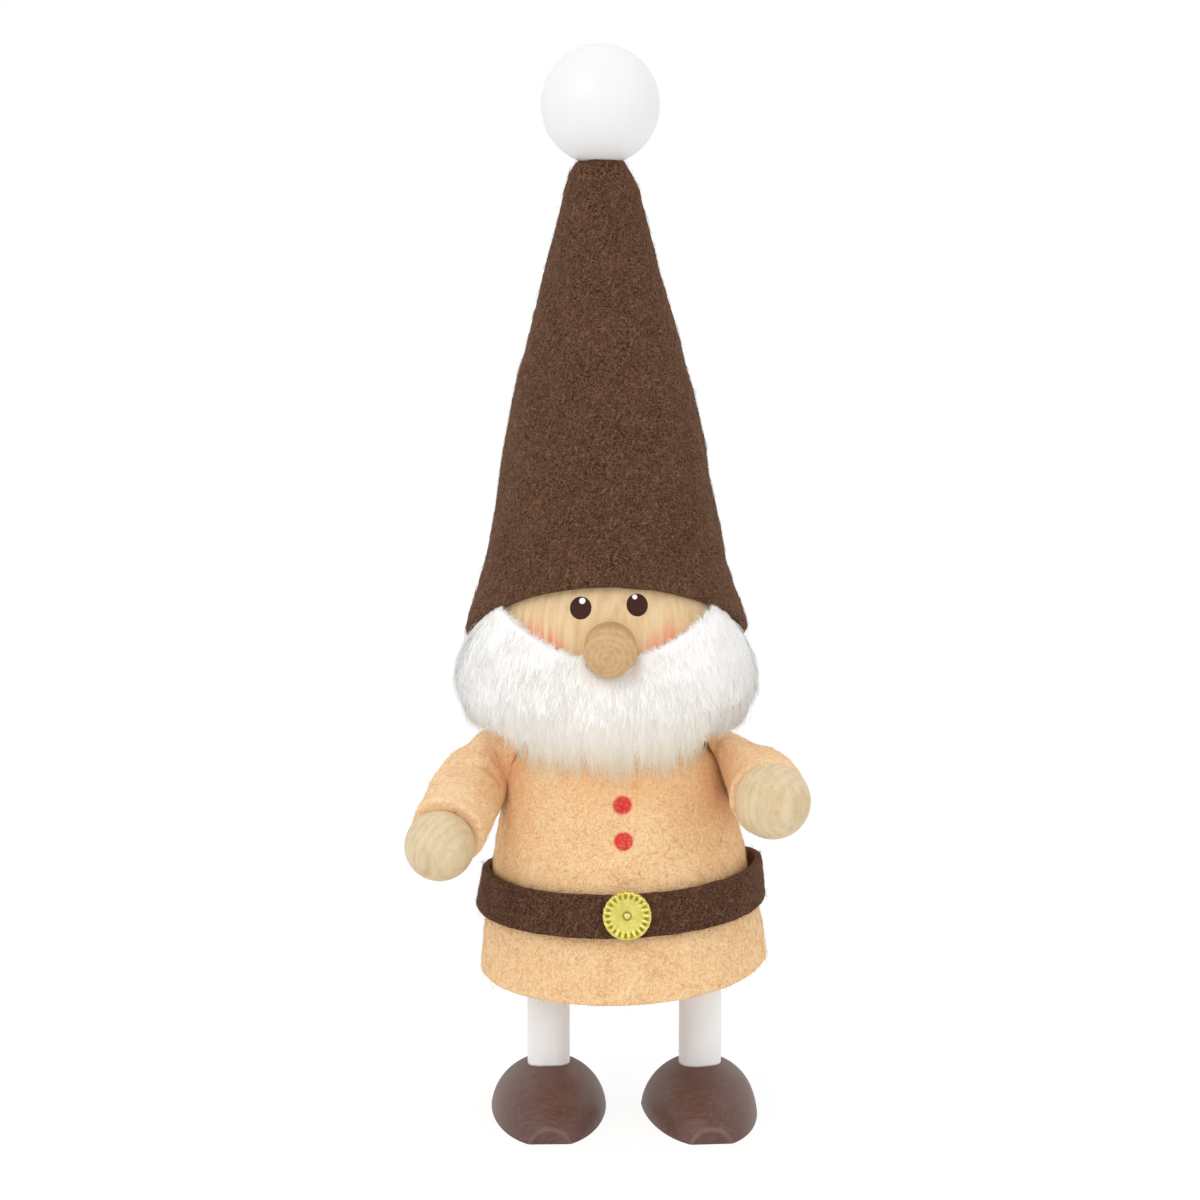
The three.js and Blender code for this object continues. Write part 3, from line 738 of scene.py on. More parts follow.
@dataclass
class Hairs:
    """Hairs that become one mesh of thin, tapering strands."""

    thickness: float
    tip: float = 0.25
    lines: list[list[Vector]] = field(default_factory=list)

    def mesh(self, name: str) -> bpy.types.Mesh:
        """Turns the hairs into a mesh.

        Args:
            name: The mesh's name.

        Returns:
            Closed strands of three sides.
        """
        section = bpy.data.curves.new("hair_section", "CURVE")
        corner = section.splines.new("POLY")
        corner.points.add(2)
        for i, point in enumerate(corner.points):
            point.co = (math.cos(TURN * i / 3), -math.sin(TURN * i / 3), 0, 1)
        corner.use_cyclic_u = True
        outline = bpy.data.objects.new("hair_section", section)
        curve = bpy.data.curves.new(name, "CURVE")
        curve.dimensions = "3D"
        curve.bevel_mode = "OBJECT"
        curve.bevel_object = outline
        curve.use_fill_caps = True
        for line in self.lines:
            last = len(line) - 1
            spline = curve.splines.new("POLY")
            spline.points.add(last)
            spline.points.foreach_set("co", [x for point in line for x in (*point, 1.0)])
            taper = [self.thickness / 2 * blend(1, self.tip, (i / last) ** 2) for i in range(last + 1)]
            spline.points.foreach_set("radius", taper)
        strand = bpy.data.objects.new(name, curve)
        for thing in (outline, strand):
            bpy.context.scene.collection.objects.link(thing)
        bpy.context.view_layer.update()
        mesh = bpy.data.meshes.new_from_object(strand.evaluated_get(bpy.context.evaluated_depsgraph_get()))
        for thing, data in ((strand, curve), (outline, section)):
            bpy.data.objects.remove(thing)
            bpy.data.curves.remove(data)
        mesh.name = name
        return mesh


@dataclass
class Fuzz:
    """Loose wool fibres that stand a little off a felt piece."""

    count: int
    seed: int
    length: tuple[float, float] = (0.7 * MM, 2.0 * MM)
    lift: float = 0.22
    thickness: float = 0.036 * MM
    steps: int = 3

    def grow(self, piece: bpy.types.Object, name: str, finish: bpy.types.Material, body: Body,
             slot: Slot) -> bpy.types.Object:
        """Grows the fibres on a piece.

        Args:
            piece: The felt piece, before its modifiers.
            name: The new piece's name.
            finish: The fibres' material.
            body: The body that they move with.
            slot: The record's slot for their finish; not used.

        Returns:
            The piece that holds the fibres.
        """
        dice = random.Random(self.seed)
        hairs = Hairs(self.thickness)
        for point, normal in scatter(piece.data, self.count, dice):
            along = normal.orthogonal().normalized()
            along.rotate(Quaternion(normal, dice.uniform(0, TURN)))
            across = normal.cross(along)
            length = dice.uniform(*self.length)
            bend = dice.uniform(-0.6, 0.6)
            lift = self.lift * dice.random()
            hairs.lines.append([
                point + (along * s + across * (bend * s * s) + normal * (lift * s * (1.4 - s))) * length
                for s in (i / self.steps for i in range(self.steps + 1))
            ])
        return add_mesh(hairs.mesh(name), name, finish, body, slot)


# The doll


@dataclass(frozen=True)
class Places:
    """Points of the frame that the pieces are set out from."""

    axis: Vector
    head: Vector
    head_radius: float
    shoulders: dict[Side, Vector]

    @classmethod
    def of_frame(cls) -> "Places":
        """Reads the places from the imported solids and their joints."""
        pivots = {joint["name"]: Vector(joint["pos_m"]) for joint in frame["joints"]}
        shoulders = {side: pivots[f"{side.word}_arm_swing"] for side in Side}
        low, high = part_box("head")
        radius = (high.x - low.x) / 2
        neck = pivots["head_turn"]
        middle = (shoulders[Side.RIGHT] + shoulders[Side.LEFT]) / 2
        return cls(
            axis=Vector((middle.x, middle.y, 0)),
            head=Vector((neck.x, neck.y, high.z - radius)),
            head_radius=radius,
            shoulders=shoulders,
        )


@dataclass
class Finishes:
    """The doll's materials, made once."""

    places: Places

    def __post_init__(self) -> None:
        """Makes the materials."""
        head, shoulders = self.places.head, self.places.shoulders
        front = self.places.axis + Vector((0, -16.4, 0)) * MM
        red = srgb(222, 66, 62)
        buttons = tuple(
            Spot(front + Vector((x, 0, z)) * MM, 1.44 * MM, 1.38 * MM, red, edge=0.16)
            for x, z in ((-0.1, 48.0), (0.05, 43.25))
        )
        pink = srgb(238, 122, 102)
        blushes = tuple(
            Spot(head + Vector((x, -15, z)) * MM, 4.3 * MM, 2.5 * MM, pink, tilt, edge=0.6, strength=strength)
            for x, z, tilt, strength in ((-8.3, -0.5, 0.62, 0.9), (7.5, -0.5, -0.52, 0.65))
        )
        # Painted shade: warm orange dabs where the arms meet the body and on the chest under the beard.
        painted_shade_orange = srgb(236, 160, 100)
        armpit_shade = tuple(
            Spot(shoulders[side] + Vector(place) * MM, half_width * MM, half_height * MM, painted_shade_orange,
                 depth=11 * MM, edge=0.8, strength=0.6)
            for side, place, half_width, half_height in (
                (Side.RIGHT, (4, -7, 1.6), 4.5, 4.5),
                (Side.LEFT, (-3.5, -7.5, 1), 6.5, 6),
            )
        )
        chest_shade = Spot(front + Vector((1, 0, 51)) * MM, 13 * MM, 5 * MM, painted_shade_orange, edge=0.8, strength=0.5)
        peach_sheen = srgb(255, 232, 205)
        peach = dict(sheen=0.35, sheen_tint=peach_sheen)
        # The coat's felt carries the painted shade of the chest and armpits, and the real red buttons.
        self.coat = Felt("peach_felt", srgb(233, 178, 122), srgb(245, 208, 159), srgb(250, 219, 176),
                         spots=(chest_shade, *armpit_shade, *buttons), **peach).material()
        # The sleeves' felt carries the painted armpit shade.
        self.sleeve = Felt("peach_sleeve_felt", srgb(237, 186, 133), srgb(248, 214, 170), srgb(252, 226, 188),
                           spots=armpit_shade, **peach).material()
        self.peach_fuzz = Felt("peach_fuzz", srgb(240, 190, 136), srgb(248, 212, 166), srgb(252, 226, 190),
                               sheen=0.08, sheen_tint=peach_sheen, spots=buttons).material()
        brown = dict(sheen=0.25, sheen_tint=srgb(190, 150, 120))
        # The loose brown fibres are a lighter copy of the brown felt: a painted rim light on the hat's and
        # belt's fuzz.
        self.hat, self.belt, self.brown_fuzz = (
            Felt(name, srgb(*shade), srgb(*ground), srgb(*fibre), **brown).material()
            for name, shade, ground, fibre in (
                ("brown_felt", (56, 33, 22), (89, 60, 43), (126, 95, 75)),
                ("brown_belt_felt", (46, 26, 17), (79, 50, 37), (118, 88, 69)),
                ("brown_fuzz", (92, 66, 50), (118, 90, 70), (156, 124, 100)),
            )
        )
        self.fur = Fur("white_fur", srgb(251, 250, 247), srgb(241, 239, 235)).material()
        # Painted light: darker, warmer copies of the white fur for the front and the fringe, where the peach
        # coat would shine through the hairs.
        self.front_fur = Fur("cream_fur", srgb(233, 228, 219), srgb(221, 213, 200)).material()
        self.fringe_fur = Fur("fringe_fur", srgb(239, 234, 225), srgb(227, 219, 206), srgb(216, 195, 165),
                              (head.z - 18.5 * MM, head.z - 10.5 * MM)).material()
        self.fur_pad = Fur("white_fur_pad", srgb(251, 250, 248), srgb(245, 243, 240)).material()
        upright = Euler((0, 0, 0))
        forward = Euler((TURN / 4, 0, 0))
        self.face = Wood("face_beech", srgb(232, 204, 160), srgb(215, 174, 124),
                         head + Vector((-26, 30, 0)) * MM, upright, 1.3 * MM, ring_strength=0.32,
                         pore_width=0.13 * MM, pore_length=22.0, blushes=blushes).material()
        self.nose = Wood("nose_beech", srgb(208, 174, 127), srgb(183, 143, 97),
                         head + Vector((0.1, 0, -1.4)) * MM, forward, 0.75 * MM, ring_strength=0.28,
                         waver=2.4, pore_length=2.0).material()
        self.hidden = Wood("plain_beech", srgb(228, 196, 148), srgb(206, 164, 112), Vector((0.03, 0.02, 0)),
                           upright, 2.0 * MM, ring_strength=0.3).material()
        self.hands = {
            side: Wood(f"{side.word}_hand_beech", srgb(223, 203, 167), srgb(200, 172, 128),
                       shoulders[side] + Vector((x, -10, z)) * MM, Euler((tilt, 0, 0)), 1.1 * MM,
                       ring_strength=0.2, waver=3.0, pore_width=0.22 * MM, pore_length=7.0,
                       blushes=(self.lathe_mark(side, *mark),)).material()
            for side, x, z, tilt, mark in (
                (Side.RIGHT, -17, 4, 0.35, (-6.7, -20.4, -9.3, 0.8, 0.55)),
                (Side.LEFT, -11, 0, 0.0, (0.4, -24.0, -0.36, 0.5, 0.5)),
            )
        }
        # White paint; its dark mark tone is the painted contact shadow round the legs at the shoes.
        self.white = Paint("white_paint", srgb(246, 245, 244), srgb(237, 235, 233), 0.5, srgb(84, 62, 66),
                           streak_strength=0.35).material()
        self.ball = Paint("white_ball_paint", srgb(236, 236, 236), srgb(231, 231, 231), 0.42,
                          streak_strength=0.2).material()
        self.shoe = Paint("brown_stain", srgb(92, 62, 55), srgb(120, 90, 80), 0.46, srgb(140, 114, 102),
                          grain=Euler((0.25, 1.3, 0.1)), streak_width=0.34 * MM, streak_length=8.0,
                          depth=0.06 * MM, gloss=0.4).material()
        self.eye = Paint("eye_paint", srgb(62, 35, 29), srgb(74, 45, 37), 0.7, streak_strength=0.3,
                         gloss=0.15).material()
        self.glint = Paint("glint_paint", srgb(252, 252, 252), srgb(246, 246, 246), 0.4,
                           streak_strength=0.1).material()
        # Painted shade for the buckle's flutes and the ring round its pin.
        hollow = srgb(112, 98, 26)
        self.brass = Brass("bright_brass", srgb(232, 220, 124), srgb(216, 202, 96), hollow, 0.32).material()
        self.pin = Brass("pin_brass", srgb(240, 228, 176), srgb(222, 202, 138), hollow, 0.3).material()

    def lathe_mark(self, side: Side, x: float, y: float, z: float, radius: float, strength: float) -> Spot:
        """The mark of the lathe's centre on a hand, at millimetres from its shoulder."""
        place = self.places.shoulders[side] + Vector((x, y, z)) * MM
        return Spot(place, radius * MM, radius * MM, srgb(202, 148, 104), depth=4 * MM, edge=0.6,
                    strength=strength)


@dataclass
class Portion:
    """A portion of the doll, set out from its places and given its finishes."""

    places: Places
    finishes: Finishes

    def leave_bare(self, *nodes: str) -> None:
        """Gives hidden solids plain wood."""
        for node in nodes:
            frame["nodes"][node].material_slots[0].material = self.finishes.hidden


@dataclass
class Trunk(Portion):
    """The felt coat on its wooden core, with belt and buckle."""

    felt: float = 1.2 * MM
    outline: Profile = (
        (20.15 * MM, 21.8 * MM), (19.1 * MM, 30.0 * MM), (16.1 * MM, 45.0 * MM), (14.4 * MM, 51.5 * MM),
        (10.4 * MM, 54.0 * MM),
    )
    shoulder_height: float = 49.4 * MM
    hem_slant: float = math.radians(3.3)
    hem_wave: float = 0.3 * MM
    hem_waves: int = 3
    hem_phase: float = 0.8
    hem_shift: float = 0.45 * MM
    lean: float = 1.45 * MM
    hem_sag: float = 0.25 * MM
    hem_sag_place: float = 0.3
    pinch: float = 0.35 * MM
    pinch_share: float = 0.8
    belt_height: float = 33.7 * MM
    belt_width: float = 5.6 * MM
    belt_felt: float = 1.0 * MM
    belt_gap: float = 0.45 * MM
    belt_slant: float = math.radians(1.9)
    belt_opening: float = 0.9 * MM
    belt_flare: float = 1.4 * MM
    belt_hug: float = 1.0 * MM
    belt_hug_place: float = TURN * 0.69
    belt_hug_width: float = 1.6
    belt_shift: float = -0.3 * MM
    belt_sag: float = 1.3 * MM
    belt_sag_span: tuple[float, float] = (TURN * 0.22, TURN * 0.36)
    belt_squareness: float = 0.22
    buckle_turn: float = math.radians(1.4)
    buckle_radius: float = 3.25 * MM
    buckle_thickness: float = 0.5 * MM
    buckle_rim: float = 1.15 * MM
    buckle_lift: float = 0.2 * MM
    flutes: int = 21
    flute_depth: float = 0.3 * MM
    eyelet: float = 0.52 * MM
    pin_radius: float = 0.45 * MM
    pin_dome: float = 0.32 * MM
    pin_shank: float = 0.4 * MM
    pin_length: float = 6 * MM

    def build(self) -> None:
        """Builds every piece of the trunk."""
        self.profile = curve_through(self.outline, 12)
        coat = self.make_coat()
        belt = self.make_belt()
        self.make_buckle()
        coat_fuzz = Fuzz(count=7000, seed=11).grow(
            coat, "coat_fuzz", self.finishes.peach_fuzz, Body.TRUNK, Slot.PEACH_FELT)
        Fuzz(count=3000, seed=12, length=(0.6 * MM, 1.6 * MM)).grow(
            belt, "belt_fuzz", self.finishes.brown_fuzz, Body.TRUNK, Slot.BROWN_FELT)
        self.leave_bare("body_core", "neck_dowel")

    def coat_point(self, angle: float, share: float) -> Vector:
        """A point of the coat's outer skin."""
        bottom, top = self.profile[0][1], self.profile[-1][1]
        height = blend(bottom, top, share)
        radius = radius_at(self.profile, height)
        hang = 1 - min((height - bottom) / (self.shoulder_height - bottom), 1)
        phase = self.hem_waves * angle + self.hem_phase
        radius += self.hem_wave * hang ** 2 * math.sin(phase) * math.cos(angle / 2)
        x = radius * math.sin(angle)
        belt_middle = self.belt_height + x * math.tan(self.belt_slant)
        radius -= self.pinch * bump_at(height, belt_middle, self.pinch_share * self.belt_width)
        sag = self.hem_sag * hang ** 3 * max(math.cos(angle - self.hem_sag_place), 0)
        height += x * math.tan(self.hem_slant) * hang - sag
        shift = self.hem_shift - self.lean * (1 - hang)
        x = radius * math.sin(angle) + shift
        return self.places.axis + Vector((x, -radius * math.cos(angle), height))

    def make_coat(self) -> bpy.types.Object:
        """Makes the coat."""
        bm = skin(rows=64, sides=128, place=self.coat_point)
        ruffle(bm, size=5 * MM, height=0.12 * MM, seed=3.1)
        ruffle(bm, size=0.9 * MM, height=0.05 * MM, seed=7.7)
        piece = add_piece(bm, "coat_felt", self.finishes.coat, Body.TRUNK, Slot.PEACH_FELT, ["coat"])
        thicken(piece, self.felt)
        return piece

    def belt_point(self, angle: float, around: float) -> Vector:
        """A point of the belt's surface, whose section is a rectangle with soft corners."""
        across, upright = (
            math.copysign(abs(share) ** self.belt_squareness, share)
            for share in (math.cos(around), math.sin(around))
        )
        out = across * self.belt_felt / 2
        up = upright * self.belt_width / 2
        hug = self.belt_hug * bump_at(angle, self.belt_hug_place, self.belt_hug_width)
        flare = self.belt_flare * math.sin(angle / 2) ** 2 - hug
        proud = self.belt_gap + self.belt_felt / 2 + out + flare * (0.5 + up / self.belt_width)
        radius = radius_at(self.profile, self.belt_height + up) + proud
        sag = self.belt_sag * smooth_step(*self.belt_sag_span, min(angle, TURN - angle))
        point = round_axis(radius, angle + self.buckle_turn, up - sag)
        point.rotate(Matrix.Rotation(-self.belt_slant, 3, "Y"))
        return self.places.axis + Vector((self.belt_shift, 0, self.belt_height)) + point

    def make_belt(self) -> bpy.types.Object:
        """Makes the belt."""
        opening = self.belt_opening / radius_at(self.profile, self.belt_height)
        bm = ring(section=48, sides=160, opening=opening, place=self.belt_point)
        ruffle(bm, size=3 * MM, height=0.1 * MM, seed=5.2)
        ruffle(bm, size=0.7 * MM, height=0.05 * MM, seed=9.4)
        return add_piece(bm, "belt_felt", self.finishes.belt, Body.TRUNK, Slot.BROWN_FELT, ["belt"])

    def make_buckle(self) -> None:
        """Makes the stamped buckle and the pin that holds it."""
        half = self.belt_width / 2
        low, high = (radius_at(self.profile, self.belt_height + end) for end in (-half, half))
        tilt = math.atan2(low - high, self.belt_width)
        radius = radius_at(self.profile, self.belt_height)
        seat = round_axis(radius, self.buckle_turn, self.belt_height)
        upright = Matrix.Rotation(self.buckle_turn, 4, "Z") @ Matrix.Rotation(TURN / 4 - tilt, 4, "X")
        lift = self.belt_gap + self.belt_felt + self.buckle_lift
        place = Matrix.Translation(self.places.axis + seat) @ upright @ Matrix.Translation((0, 0, lift))
        top, edge = self.buckle_thickness, self.buckle_radius
        crest = edge - 0.25 * MM
        flat = edge - self.buckle_rim
        profile = [
            (0, 0), (edge - 0.1 * MM, 0), (edge, 0.1 * MM), (edge, top), (edge - 0.08 * MM, top + 0.2 * MM),
            (crest, top + 0.32 * MM), (blend(crest, flat, 0.3), top + 0.3 * MM),
            (blend(crest, flat, 0.65), top + 0.16 * MM), (flat, top + 0.02 * MM), (flat - 0.15 * MM, top),
            (1.0 * MM, top), (0.72 * MM, top - 0.03 * MM), (0.58 * MM, top - 0.06 * MM),
            (0.45 * MM, top - 0.06 * MM), (0, top - 0.06 * MM),
        ]
        bm = turned(profile, sides=self.flutes * 8)
        # The marks are painted shade: deep in each flute and in a ring round the pin's eyelet.
        hollow = bm.verts.layers.float.new(WEAR_AND_SHADE)
        for vert in bm.verts:
            reach = vert.co.to_2d().length
            if vert.co.z > top and reach > flat:
                wave = (0.5 - 0.5 * math.cos(self.flutes * math.atan2(vert.co.y, vert.co.x))) ** 2
                vert.co.z -= self.flute_depth * wave * min((vert.co.z - top) / (0.2 * MM), 1)
                vert[hollow] = wave * bump_at(reach, blend(flat, crest, 0.5), 0.6 * MM)
            elif reach < flat:
                vert[hollow] = bump_at(reach, self.eyelet, 0.24 * MM) * 0.8
        bm.transform(place)
        add_piece(bm, "buckle_disc", self.finishes.brass, Body.TRUNK, Slot.BRASS, ["buckle"])
        dome = arc(self.pin_radius, self.pin_dome, top, 0, 90, 10)
        shank = [(0, -self.pin_length), (self.pin_shank, -self.pin_length), (self.pin_shank, top)]
        pin = turned([*shank, *dome], sides=48)
        pin.transform(place)
        add_piece(pin, "buckle_nail", self.finishes.pin, Body.TRUNK, Slot.BRASS, ["buckle_pin"])


@dataclass
class Foot(Portion):
    """A painted leg in its half-egg shoe."""

    side: Side
    toe_turn: float
    spread: float = 21.5 * MM
    shift: float = 0.35 * MM
    leg_radius: float = 3.0 * MM
    leg_bottom: float = 2.5 * MM
    leg_top: float = 39.5 * MM
    edge: float = 0.35 * MM
    radius: float = 8.25 * MM
    sole_rise: float = 0.9 * MM
    toe_radius: float = 3.0 * MM
    toe_reach: float = 14.55 * MM
    heel_reach: float = 6.9 * MM
    widest: float = 1.8 * MM
    glue_mm: tuple[float, float] = (4.5, 8.5)
    glue_rows: int = 40
    glue_width: float = 0.3 * MM
    wear_width: float = 0.35 * MM
    wear_strength: float = 0.7
    sole_edge: float = 0.2 * MM

    def build(self) -> None:
        """Builds the leg and the shoe."""
        offset = Vector((self.shift + self.side.value * self.spread / 2, 0, 0))
        self.stand = Matrix.Translation(self.places.axis + offset) @ Matrix.Rotation(self.toe_turn, 4, "Z")
        self.make_leg()
        self.make_shoe()

    def make_leg(self) -> None:
        """Makes the leg, a dowel with broken edges and a painted contact shadow where it meets the shoe."""
        inner = self.leg_radius - self.edge
        heights = [blend(*self.glue_mm, i / self.glue_rows) * MM for i in range(self.glue_rows + 1)]
        heights = [self.leg_bottom + self.edge, *heights, self.leg_top - self.edge]
        profile = [
            (0, self.leg_bottom), (inner, self.leg_bottom),
            *((self.leg_radius, height) for height in heights),
            (inner, self.leg_top), (0, self.leg_top),
        ]
        bm = turned(profile, sides=96)
        # Painted shade: a thin dark ring on the leg along the line where the shoe's top meets it.
        contact_shade = bm.verts.layers.float.new(WEAR_AND_SHADE)
        for vert in bm.verts:
            vert[contact_shade] = bump_at(vert.co.z, self.shoe_top(vert.co.x, vert.co.y), self.glue_width)
        bm.transform(self.stand)
        name = f"{self.side.word}_leg"
        add_piece(bm, f"{name}_painted", self.finishes.white, Body.TRUNK, Slot.WHITE_PAINT, [name])

    def toe_arc(self) -> tuple[float, float]:
        """The angle at which the egg's front half meets the toe's flat, and the half's reach."""
        angle = math.acos(self.toe_radius / self.radius)
        return angle, (self.toe_reach + self.widest) / math.sin(angle)

    def shoe_top(self, x: float, y: float) -> float:
        """The height of the shoe's upper face at a place beside the leg's axis."""
        reach = self.toe_arc()[1] if y < self.widest else self.heel_reach - self.widest
        across = self.radius ** 2 * (1 - ((y - self.widest) / reach) ** 2)
        return math.sqrt(max(across - x * x, 0)) - self.sole_rise

    def make_shoe(self) -> None:
        """Makes the shoe, an egg turned along the foot, sawn flat below and sanded flat at the toe."""
        toe_angle, reach = self.toe_arc()
        toe = arc(self.radius, reach, self.widest, -math.degrees(toe_angle), 0, 48)
        heel = arc(self.radius, self.heel_reach - self.widest, self.widest, 0, 90, 40)
        steps = (0, 1.2 * MM, 2.3 * MM, self.toe_radius - 0.3 * MM, self.toe_radius - 0.12 * MM)
        facet = [(step, -self.toe_reach) for step in steps]
        bm = turned([*facet, *toe[1:], *heel[1:]], sides=160)
        rub_and_shade = bm.verts.layers.float.new(WEAR_AND_SHADE)
        for vert in bm.verts:
            if vert.co.z < 0.4 * MM - self.toe_reach:
                edge = bump_at(vert.co.to_2d().length, self.toe_radius, self.wear_width)
                vert[rub_and_shade] = self.wear_strength * edge
        bm.transform(Matrix.Translation((0, 0, -self.sole_rise)) @ Matrix.Rotation(-TURN / 4, 4, "X"))
        bmesh.ops.bisect_plane(bm, geom=bm.verts[:] + bm.edges[:] + bm.faces[:], plane_co=(0, 0, 0),
                               plane_no=(0, 0, 1), clear_inner=True, dist=MERGE)
        rim = [edge for edge in bm.edges if edge.is_boundary]
        bmesh.ops.contextual_create(bm, geom=rim)
        sole = [edge for edge in bm.edges if all(abs(vert.co.z) < MERGE for vert in edge.verts)]
        bmesh.ops.bevel(bm, geom=sole, offset=self.sole_edge, offset_type="OFFSET", affect="EDGES",
                        segments=3, profile=0.5, material=-1, clamp_overlap=True)
        bm.transform(self.stand)
        name = f"{self.side.word}_shoe"
        add_piece(bm, f"{name}_stained", self.finishes.shoe, Body.TRUNK, Slot.BROWN_STAIN, [name])


@dataclass
class Head(Portion):
    """The turned head with its nose and painted eyes."""

    flat_radius: float = 6.8 * MM
    nose_radius: float = 3.45 * MM
    nose_drop: float = 0.7 * MM
    nose_shift: float = 0.45 * MM
    nose_reach: float = 5.3 * MM
    nose_in_head: float = 6.0 * MM
    nose_round: float = 2.1 * MM
    paint: float = 0.06 * MM
    eye_width: float = 3.05 * MM
    eye_height: float = 3.2 * MM

    def build(self) -> None:
        """Builds head, nose and eyes."""
        radius = self.places.head_radius
        drop = math.degrees(math.acos(self.flat_radius / radius))
        ball = arc(radius, radius, 0, -drop, 90, 96)
        bm = turned([(0, ball[0][1]), *ball], sides=160)
        bm.transform(Matrix.Translation(self.places.head))
        add_piece(bm, "head_ball", self.finishes.face, Body.HEAD, Slot.BEECH, ["head"])
        self.make_nose()
        for side, x, z, glint_x, glint_z, glint in (
            (Side.RIGHT, -3.46, 4.46, 0.23, 0.9, 0.46),
            (Side.LEFT, 4.02, 4.83, -0.34, 1.03, 0.38),
        ):
            name = f"{side.word}_eye"
            self.dab(name, x * MM, z * MM, self.eye_width / 2, self.eye_height / 2, 1, self.finishes.eye)
            self.dab(f"{name}_glint", (x + glint_x) * MM, (z + glint_z) * MM, glint * MM, glint * MM, 2,
                     self.finishes.glint)

    def make_nose(self) -> None:
        """Makes the nose, a peg with a rounded end."""
        length = self.nose_in_head + self.nose_reach
        tip = arc(self.nose_radius, self.nose_round, length - self.nose_round, 0, 90, 24)
        bm = turned([(0, 0), (self.nose_radius, 0), *tip], sides=96)
        inner_end = Vector((self.nose_shift, self.nose_in_head - self.places.head_radius, -self.nose_drop))
        bm.transform(Matrix.Translation(self.places.head + inner_end) @ Matrix.Rotation(TURN / 4, 4, "X"))
        add_piece(bm, "nose_peg", self.finishes.nose, Body.HEAD, Slot.BEECH, ["nose"])

    def dab(self, name: str, x: float, z: float, half_width: float, half_height: float, layers: int,
            finish: bpy.types.Material) -> None:
        """Paints a dab on the face, as a thin skin that follows the head.

        Args:
            name: The piece's name.
            x: How far the dab lies to the doll's left of the head's middle.
            z: How far it lies above it.
            half_width: Half its width.
            half_height: Half its height.
            layers: How many coats of paint lie there.
            finish: The paint.
        """
        radius = self.places.head_radius
        under, top = radius - self.paint, radius + layers * self.paint
        steps = (1.0, 0.99, 0.96, 0.9, 0.8, 0.6, 0.4, 0.2, 0.0)
        dome = [(share, math.sqrt(1 - share ** 6)) for share in steps]
        bm = turned([(0, -1), (1, -1), *dome], sides=64)
        for vert in bm.verts:
            flat = Vector((vert.co.x * half_width, -vert.co.y * half_height))
            depth = math.sqrt(radius ** 2 - flat.length_squared) - radius
            rise = blend(under, top, max(vert.co.z, 0))
            vert.co = Vector((flat.x, flat.y, depth + rise))
        outwards = Vector((x, -math.sqrt(radius ** 2 - x * x - z * z), z))
        turn = outwards.to_track_quat("Z", "Y").to_matrix().to_4x4()
        bm.transform(Matrix.Translation(self.places.head) @ turn)
        bm.normal_update()
        bmesh.ops.recalc_face_normals(bm, faces=bm.faces)
        add_piece(bm, name, finish, Body.HEAD, Slot.WHITE_PAINT)


@dataclass
class Hat(Portion):
    """The tall felt hat and the ball on its tip."""

    felt: float = 1.2 * MM
    lean: float = math.radians(0.7)
    tip_rise: float = 62.8 * MM
    outline: Profile = (
        (19.6 * MM, -11.5 * MM), (19.6 * MM, -1.6 * MM), (17.49 * MM, 6.02 * MM), (16.1 * MM, 11.1 * MM),
        (12.4 * MM, 31.0 * MM), (8.6 * MM, 45.0 * MM), (3.8 * MM, 63.4 * MM),
    )
    brim_drop: float = 1.15 * MM
    brim_slant: float = 8.6 * MM
    tip_round: float = 0.75 * MM
    tip_fade: float = 1.9 * MM
    tip_wave: float = 0.35 * MM
    tip_back: float = 0.3 * MM
    swell: float = 0.2 * MM
    swell_drop: float = 4 * MM
    swell_width: float = 2.5 * MM
    hollow: float = 0.55 * MM
    hollow_drop: float = 1.2 * MM
    hollow_width: float = 3 * MM
    dent_rise: float = 60.4 * MM
    dent_depth: float = 1.0 * MM
    dent_width: float = 1.6 * MM
    dent_turn: float = 0.28
    dent_span: float = 0.7
    row_spacing: float = 1.15
    ball_radius: float = 8.0 * MM
    ball_rise: float = 70.2 * MM

    def build(self) -> None:
        """Builds the hat, its fibres and its ball."""
        self.profile = curve_through(self.outline, 16)
        self.stand = Matrix.Translation(self.places.head) @ Matrix.Rotation(-self.lean, 4, "Y")
        bm = skin(rows=88, sides=132, place=self.hat_point)
        ruffle(bm, size=9 * MM, height=0.28 * MM, seed=1.3)
        ruffle(bm, size=1.0 * MM, height=0.06 * MM, seed=4.4)
        bm.transform(self.stand)
        hat = add_piece(bm, "hat_felt", self.finishes.hat, Body.HEAD, Slot.BROWN_FELT, ["hat"])
        fuzz = Fuzz(count=9500, seed=21).grow(
            hat, "hat_fuzz", self.finishes.brown_fuzz, Body.HEAD, Slot.BROWN_FELT)
        thicken(hat, self.felt)
        self.make_ball()
        self.leave_bare("hat_ball_peg")

    def hat_point(self, angle: float, share: float) -> Vector:
        """A point of the hat's outer skin, about the middle of the head."""
        brim = self.brim_slant * math.cos(angle) - self.brim_drop
        tip = self.tip_rise + self.tip_wave * math.cos(angle) ** 2 + self.tip_back * math.sin(angle / 2) ** 2
        height = blend(brim, tip, share ** self.row_spacing)
        radius = radius_at(self.profile, height)
        below = tip - height
        radius -= self.tip_round * (1 - smooth_step(0, self.tip_fade, below))
        radius += self.swell * bump_at(below, self.swell_drop, self.swell_width)
        radius -= self.hollow * bump_at(below, self.hollow_drop, self.hollow_width) * max(math.sin(angle), 0)
        dent = self.dent_depth * bump_at(height, self.dent_rise, self.dent_width)
        radius -= dent * bump_at(angle, self.dent_turn, self.dent_span)
        return round_axis(radius, angle, height)

    def make_ball(self) -> None:
        """Makes the ball, seated in the hat's tip."""
        bm = turned(arc(self.ball_radius, self.ball_radius, self.ball_rise, -90, 90, 96), sides=144)
        bm.transform(self.stand)
        add_piece(bm, "hat_ball_painted", self.finishes.ball, Body.HEAD, Slot.WHITE_PAINT, ["hat_ball"])


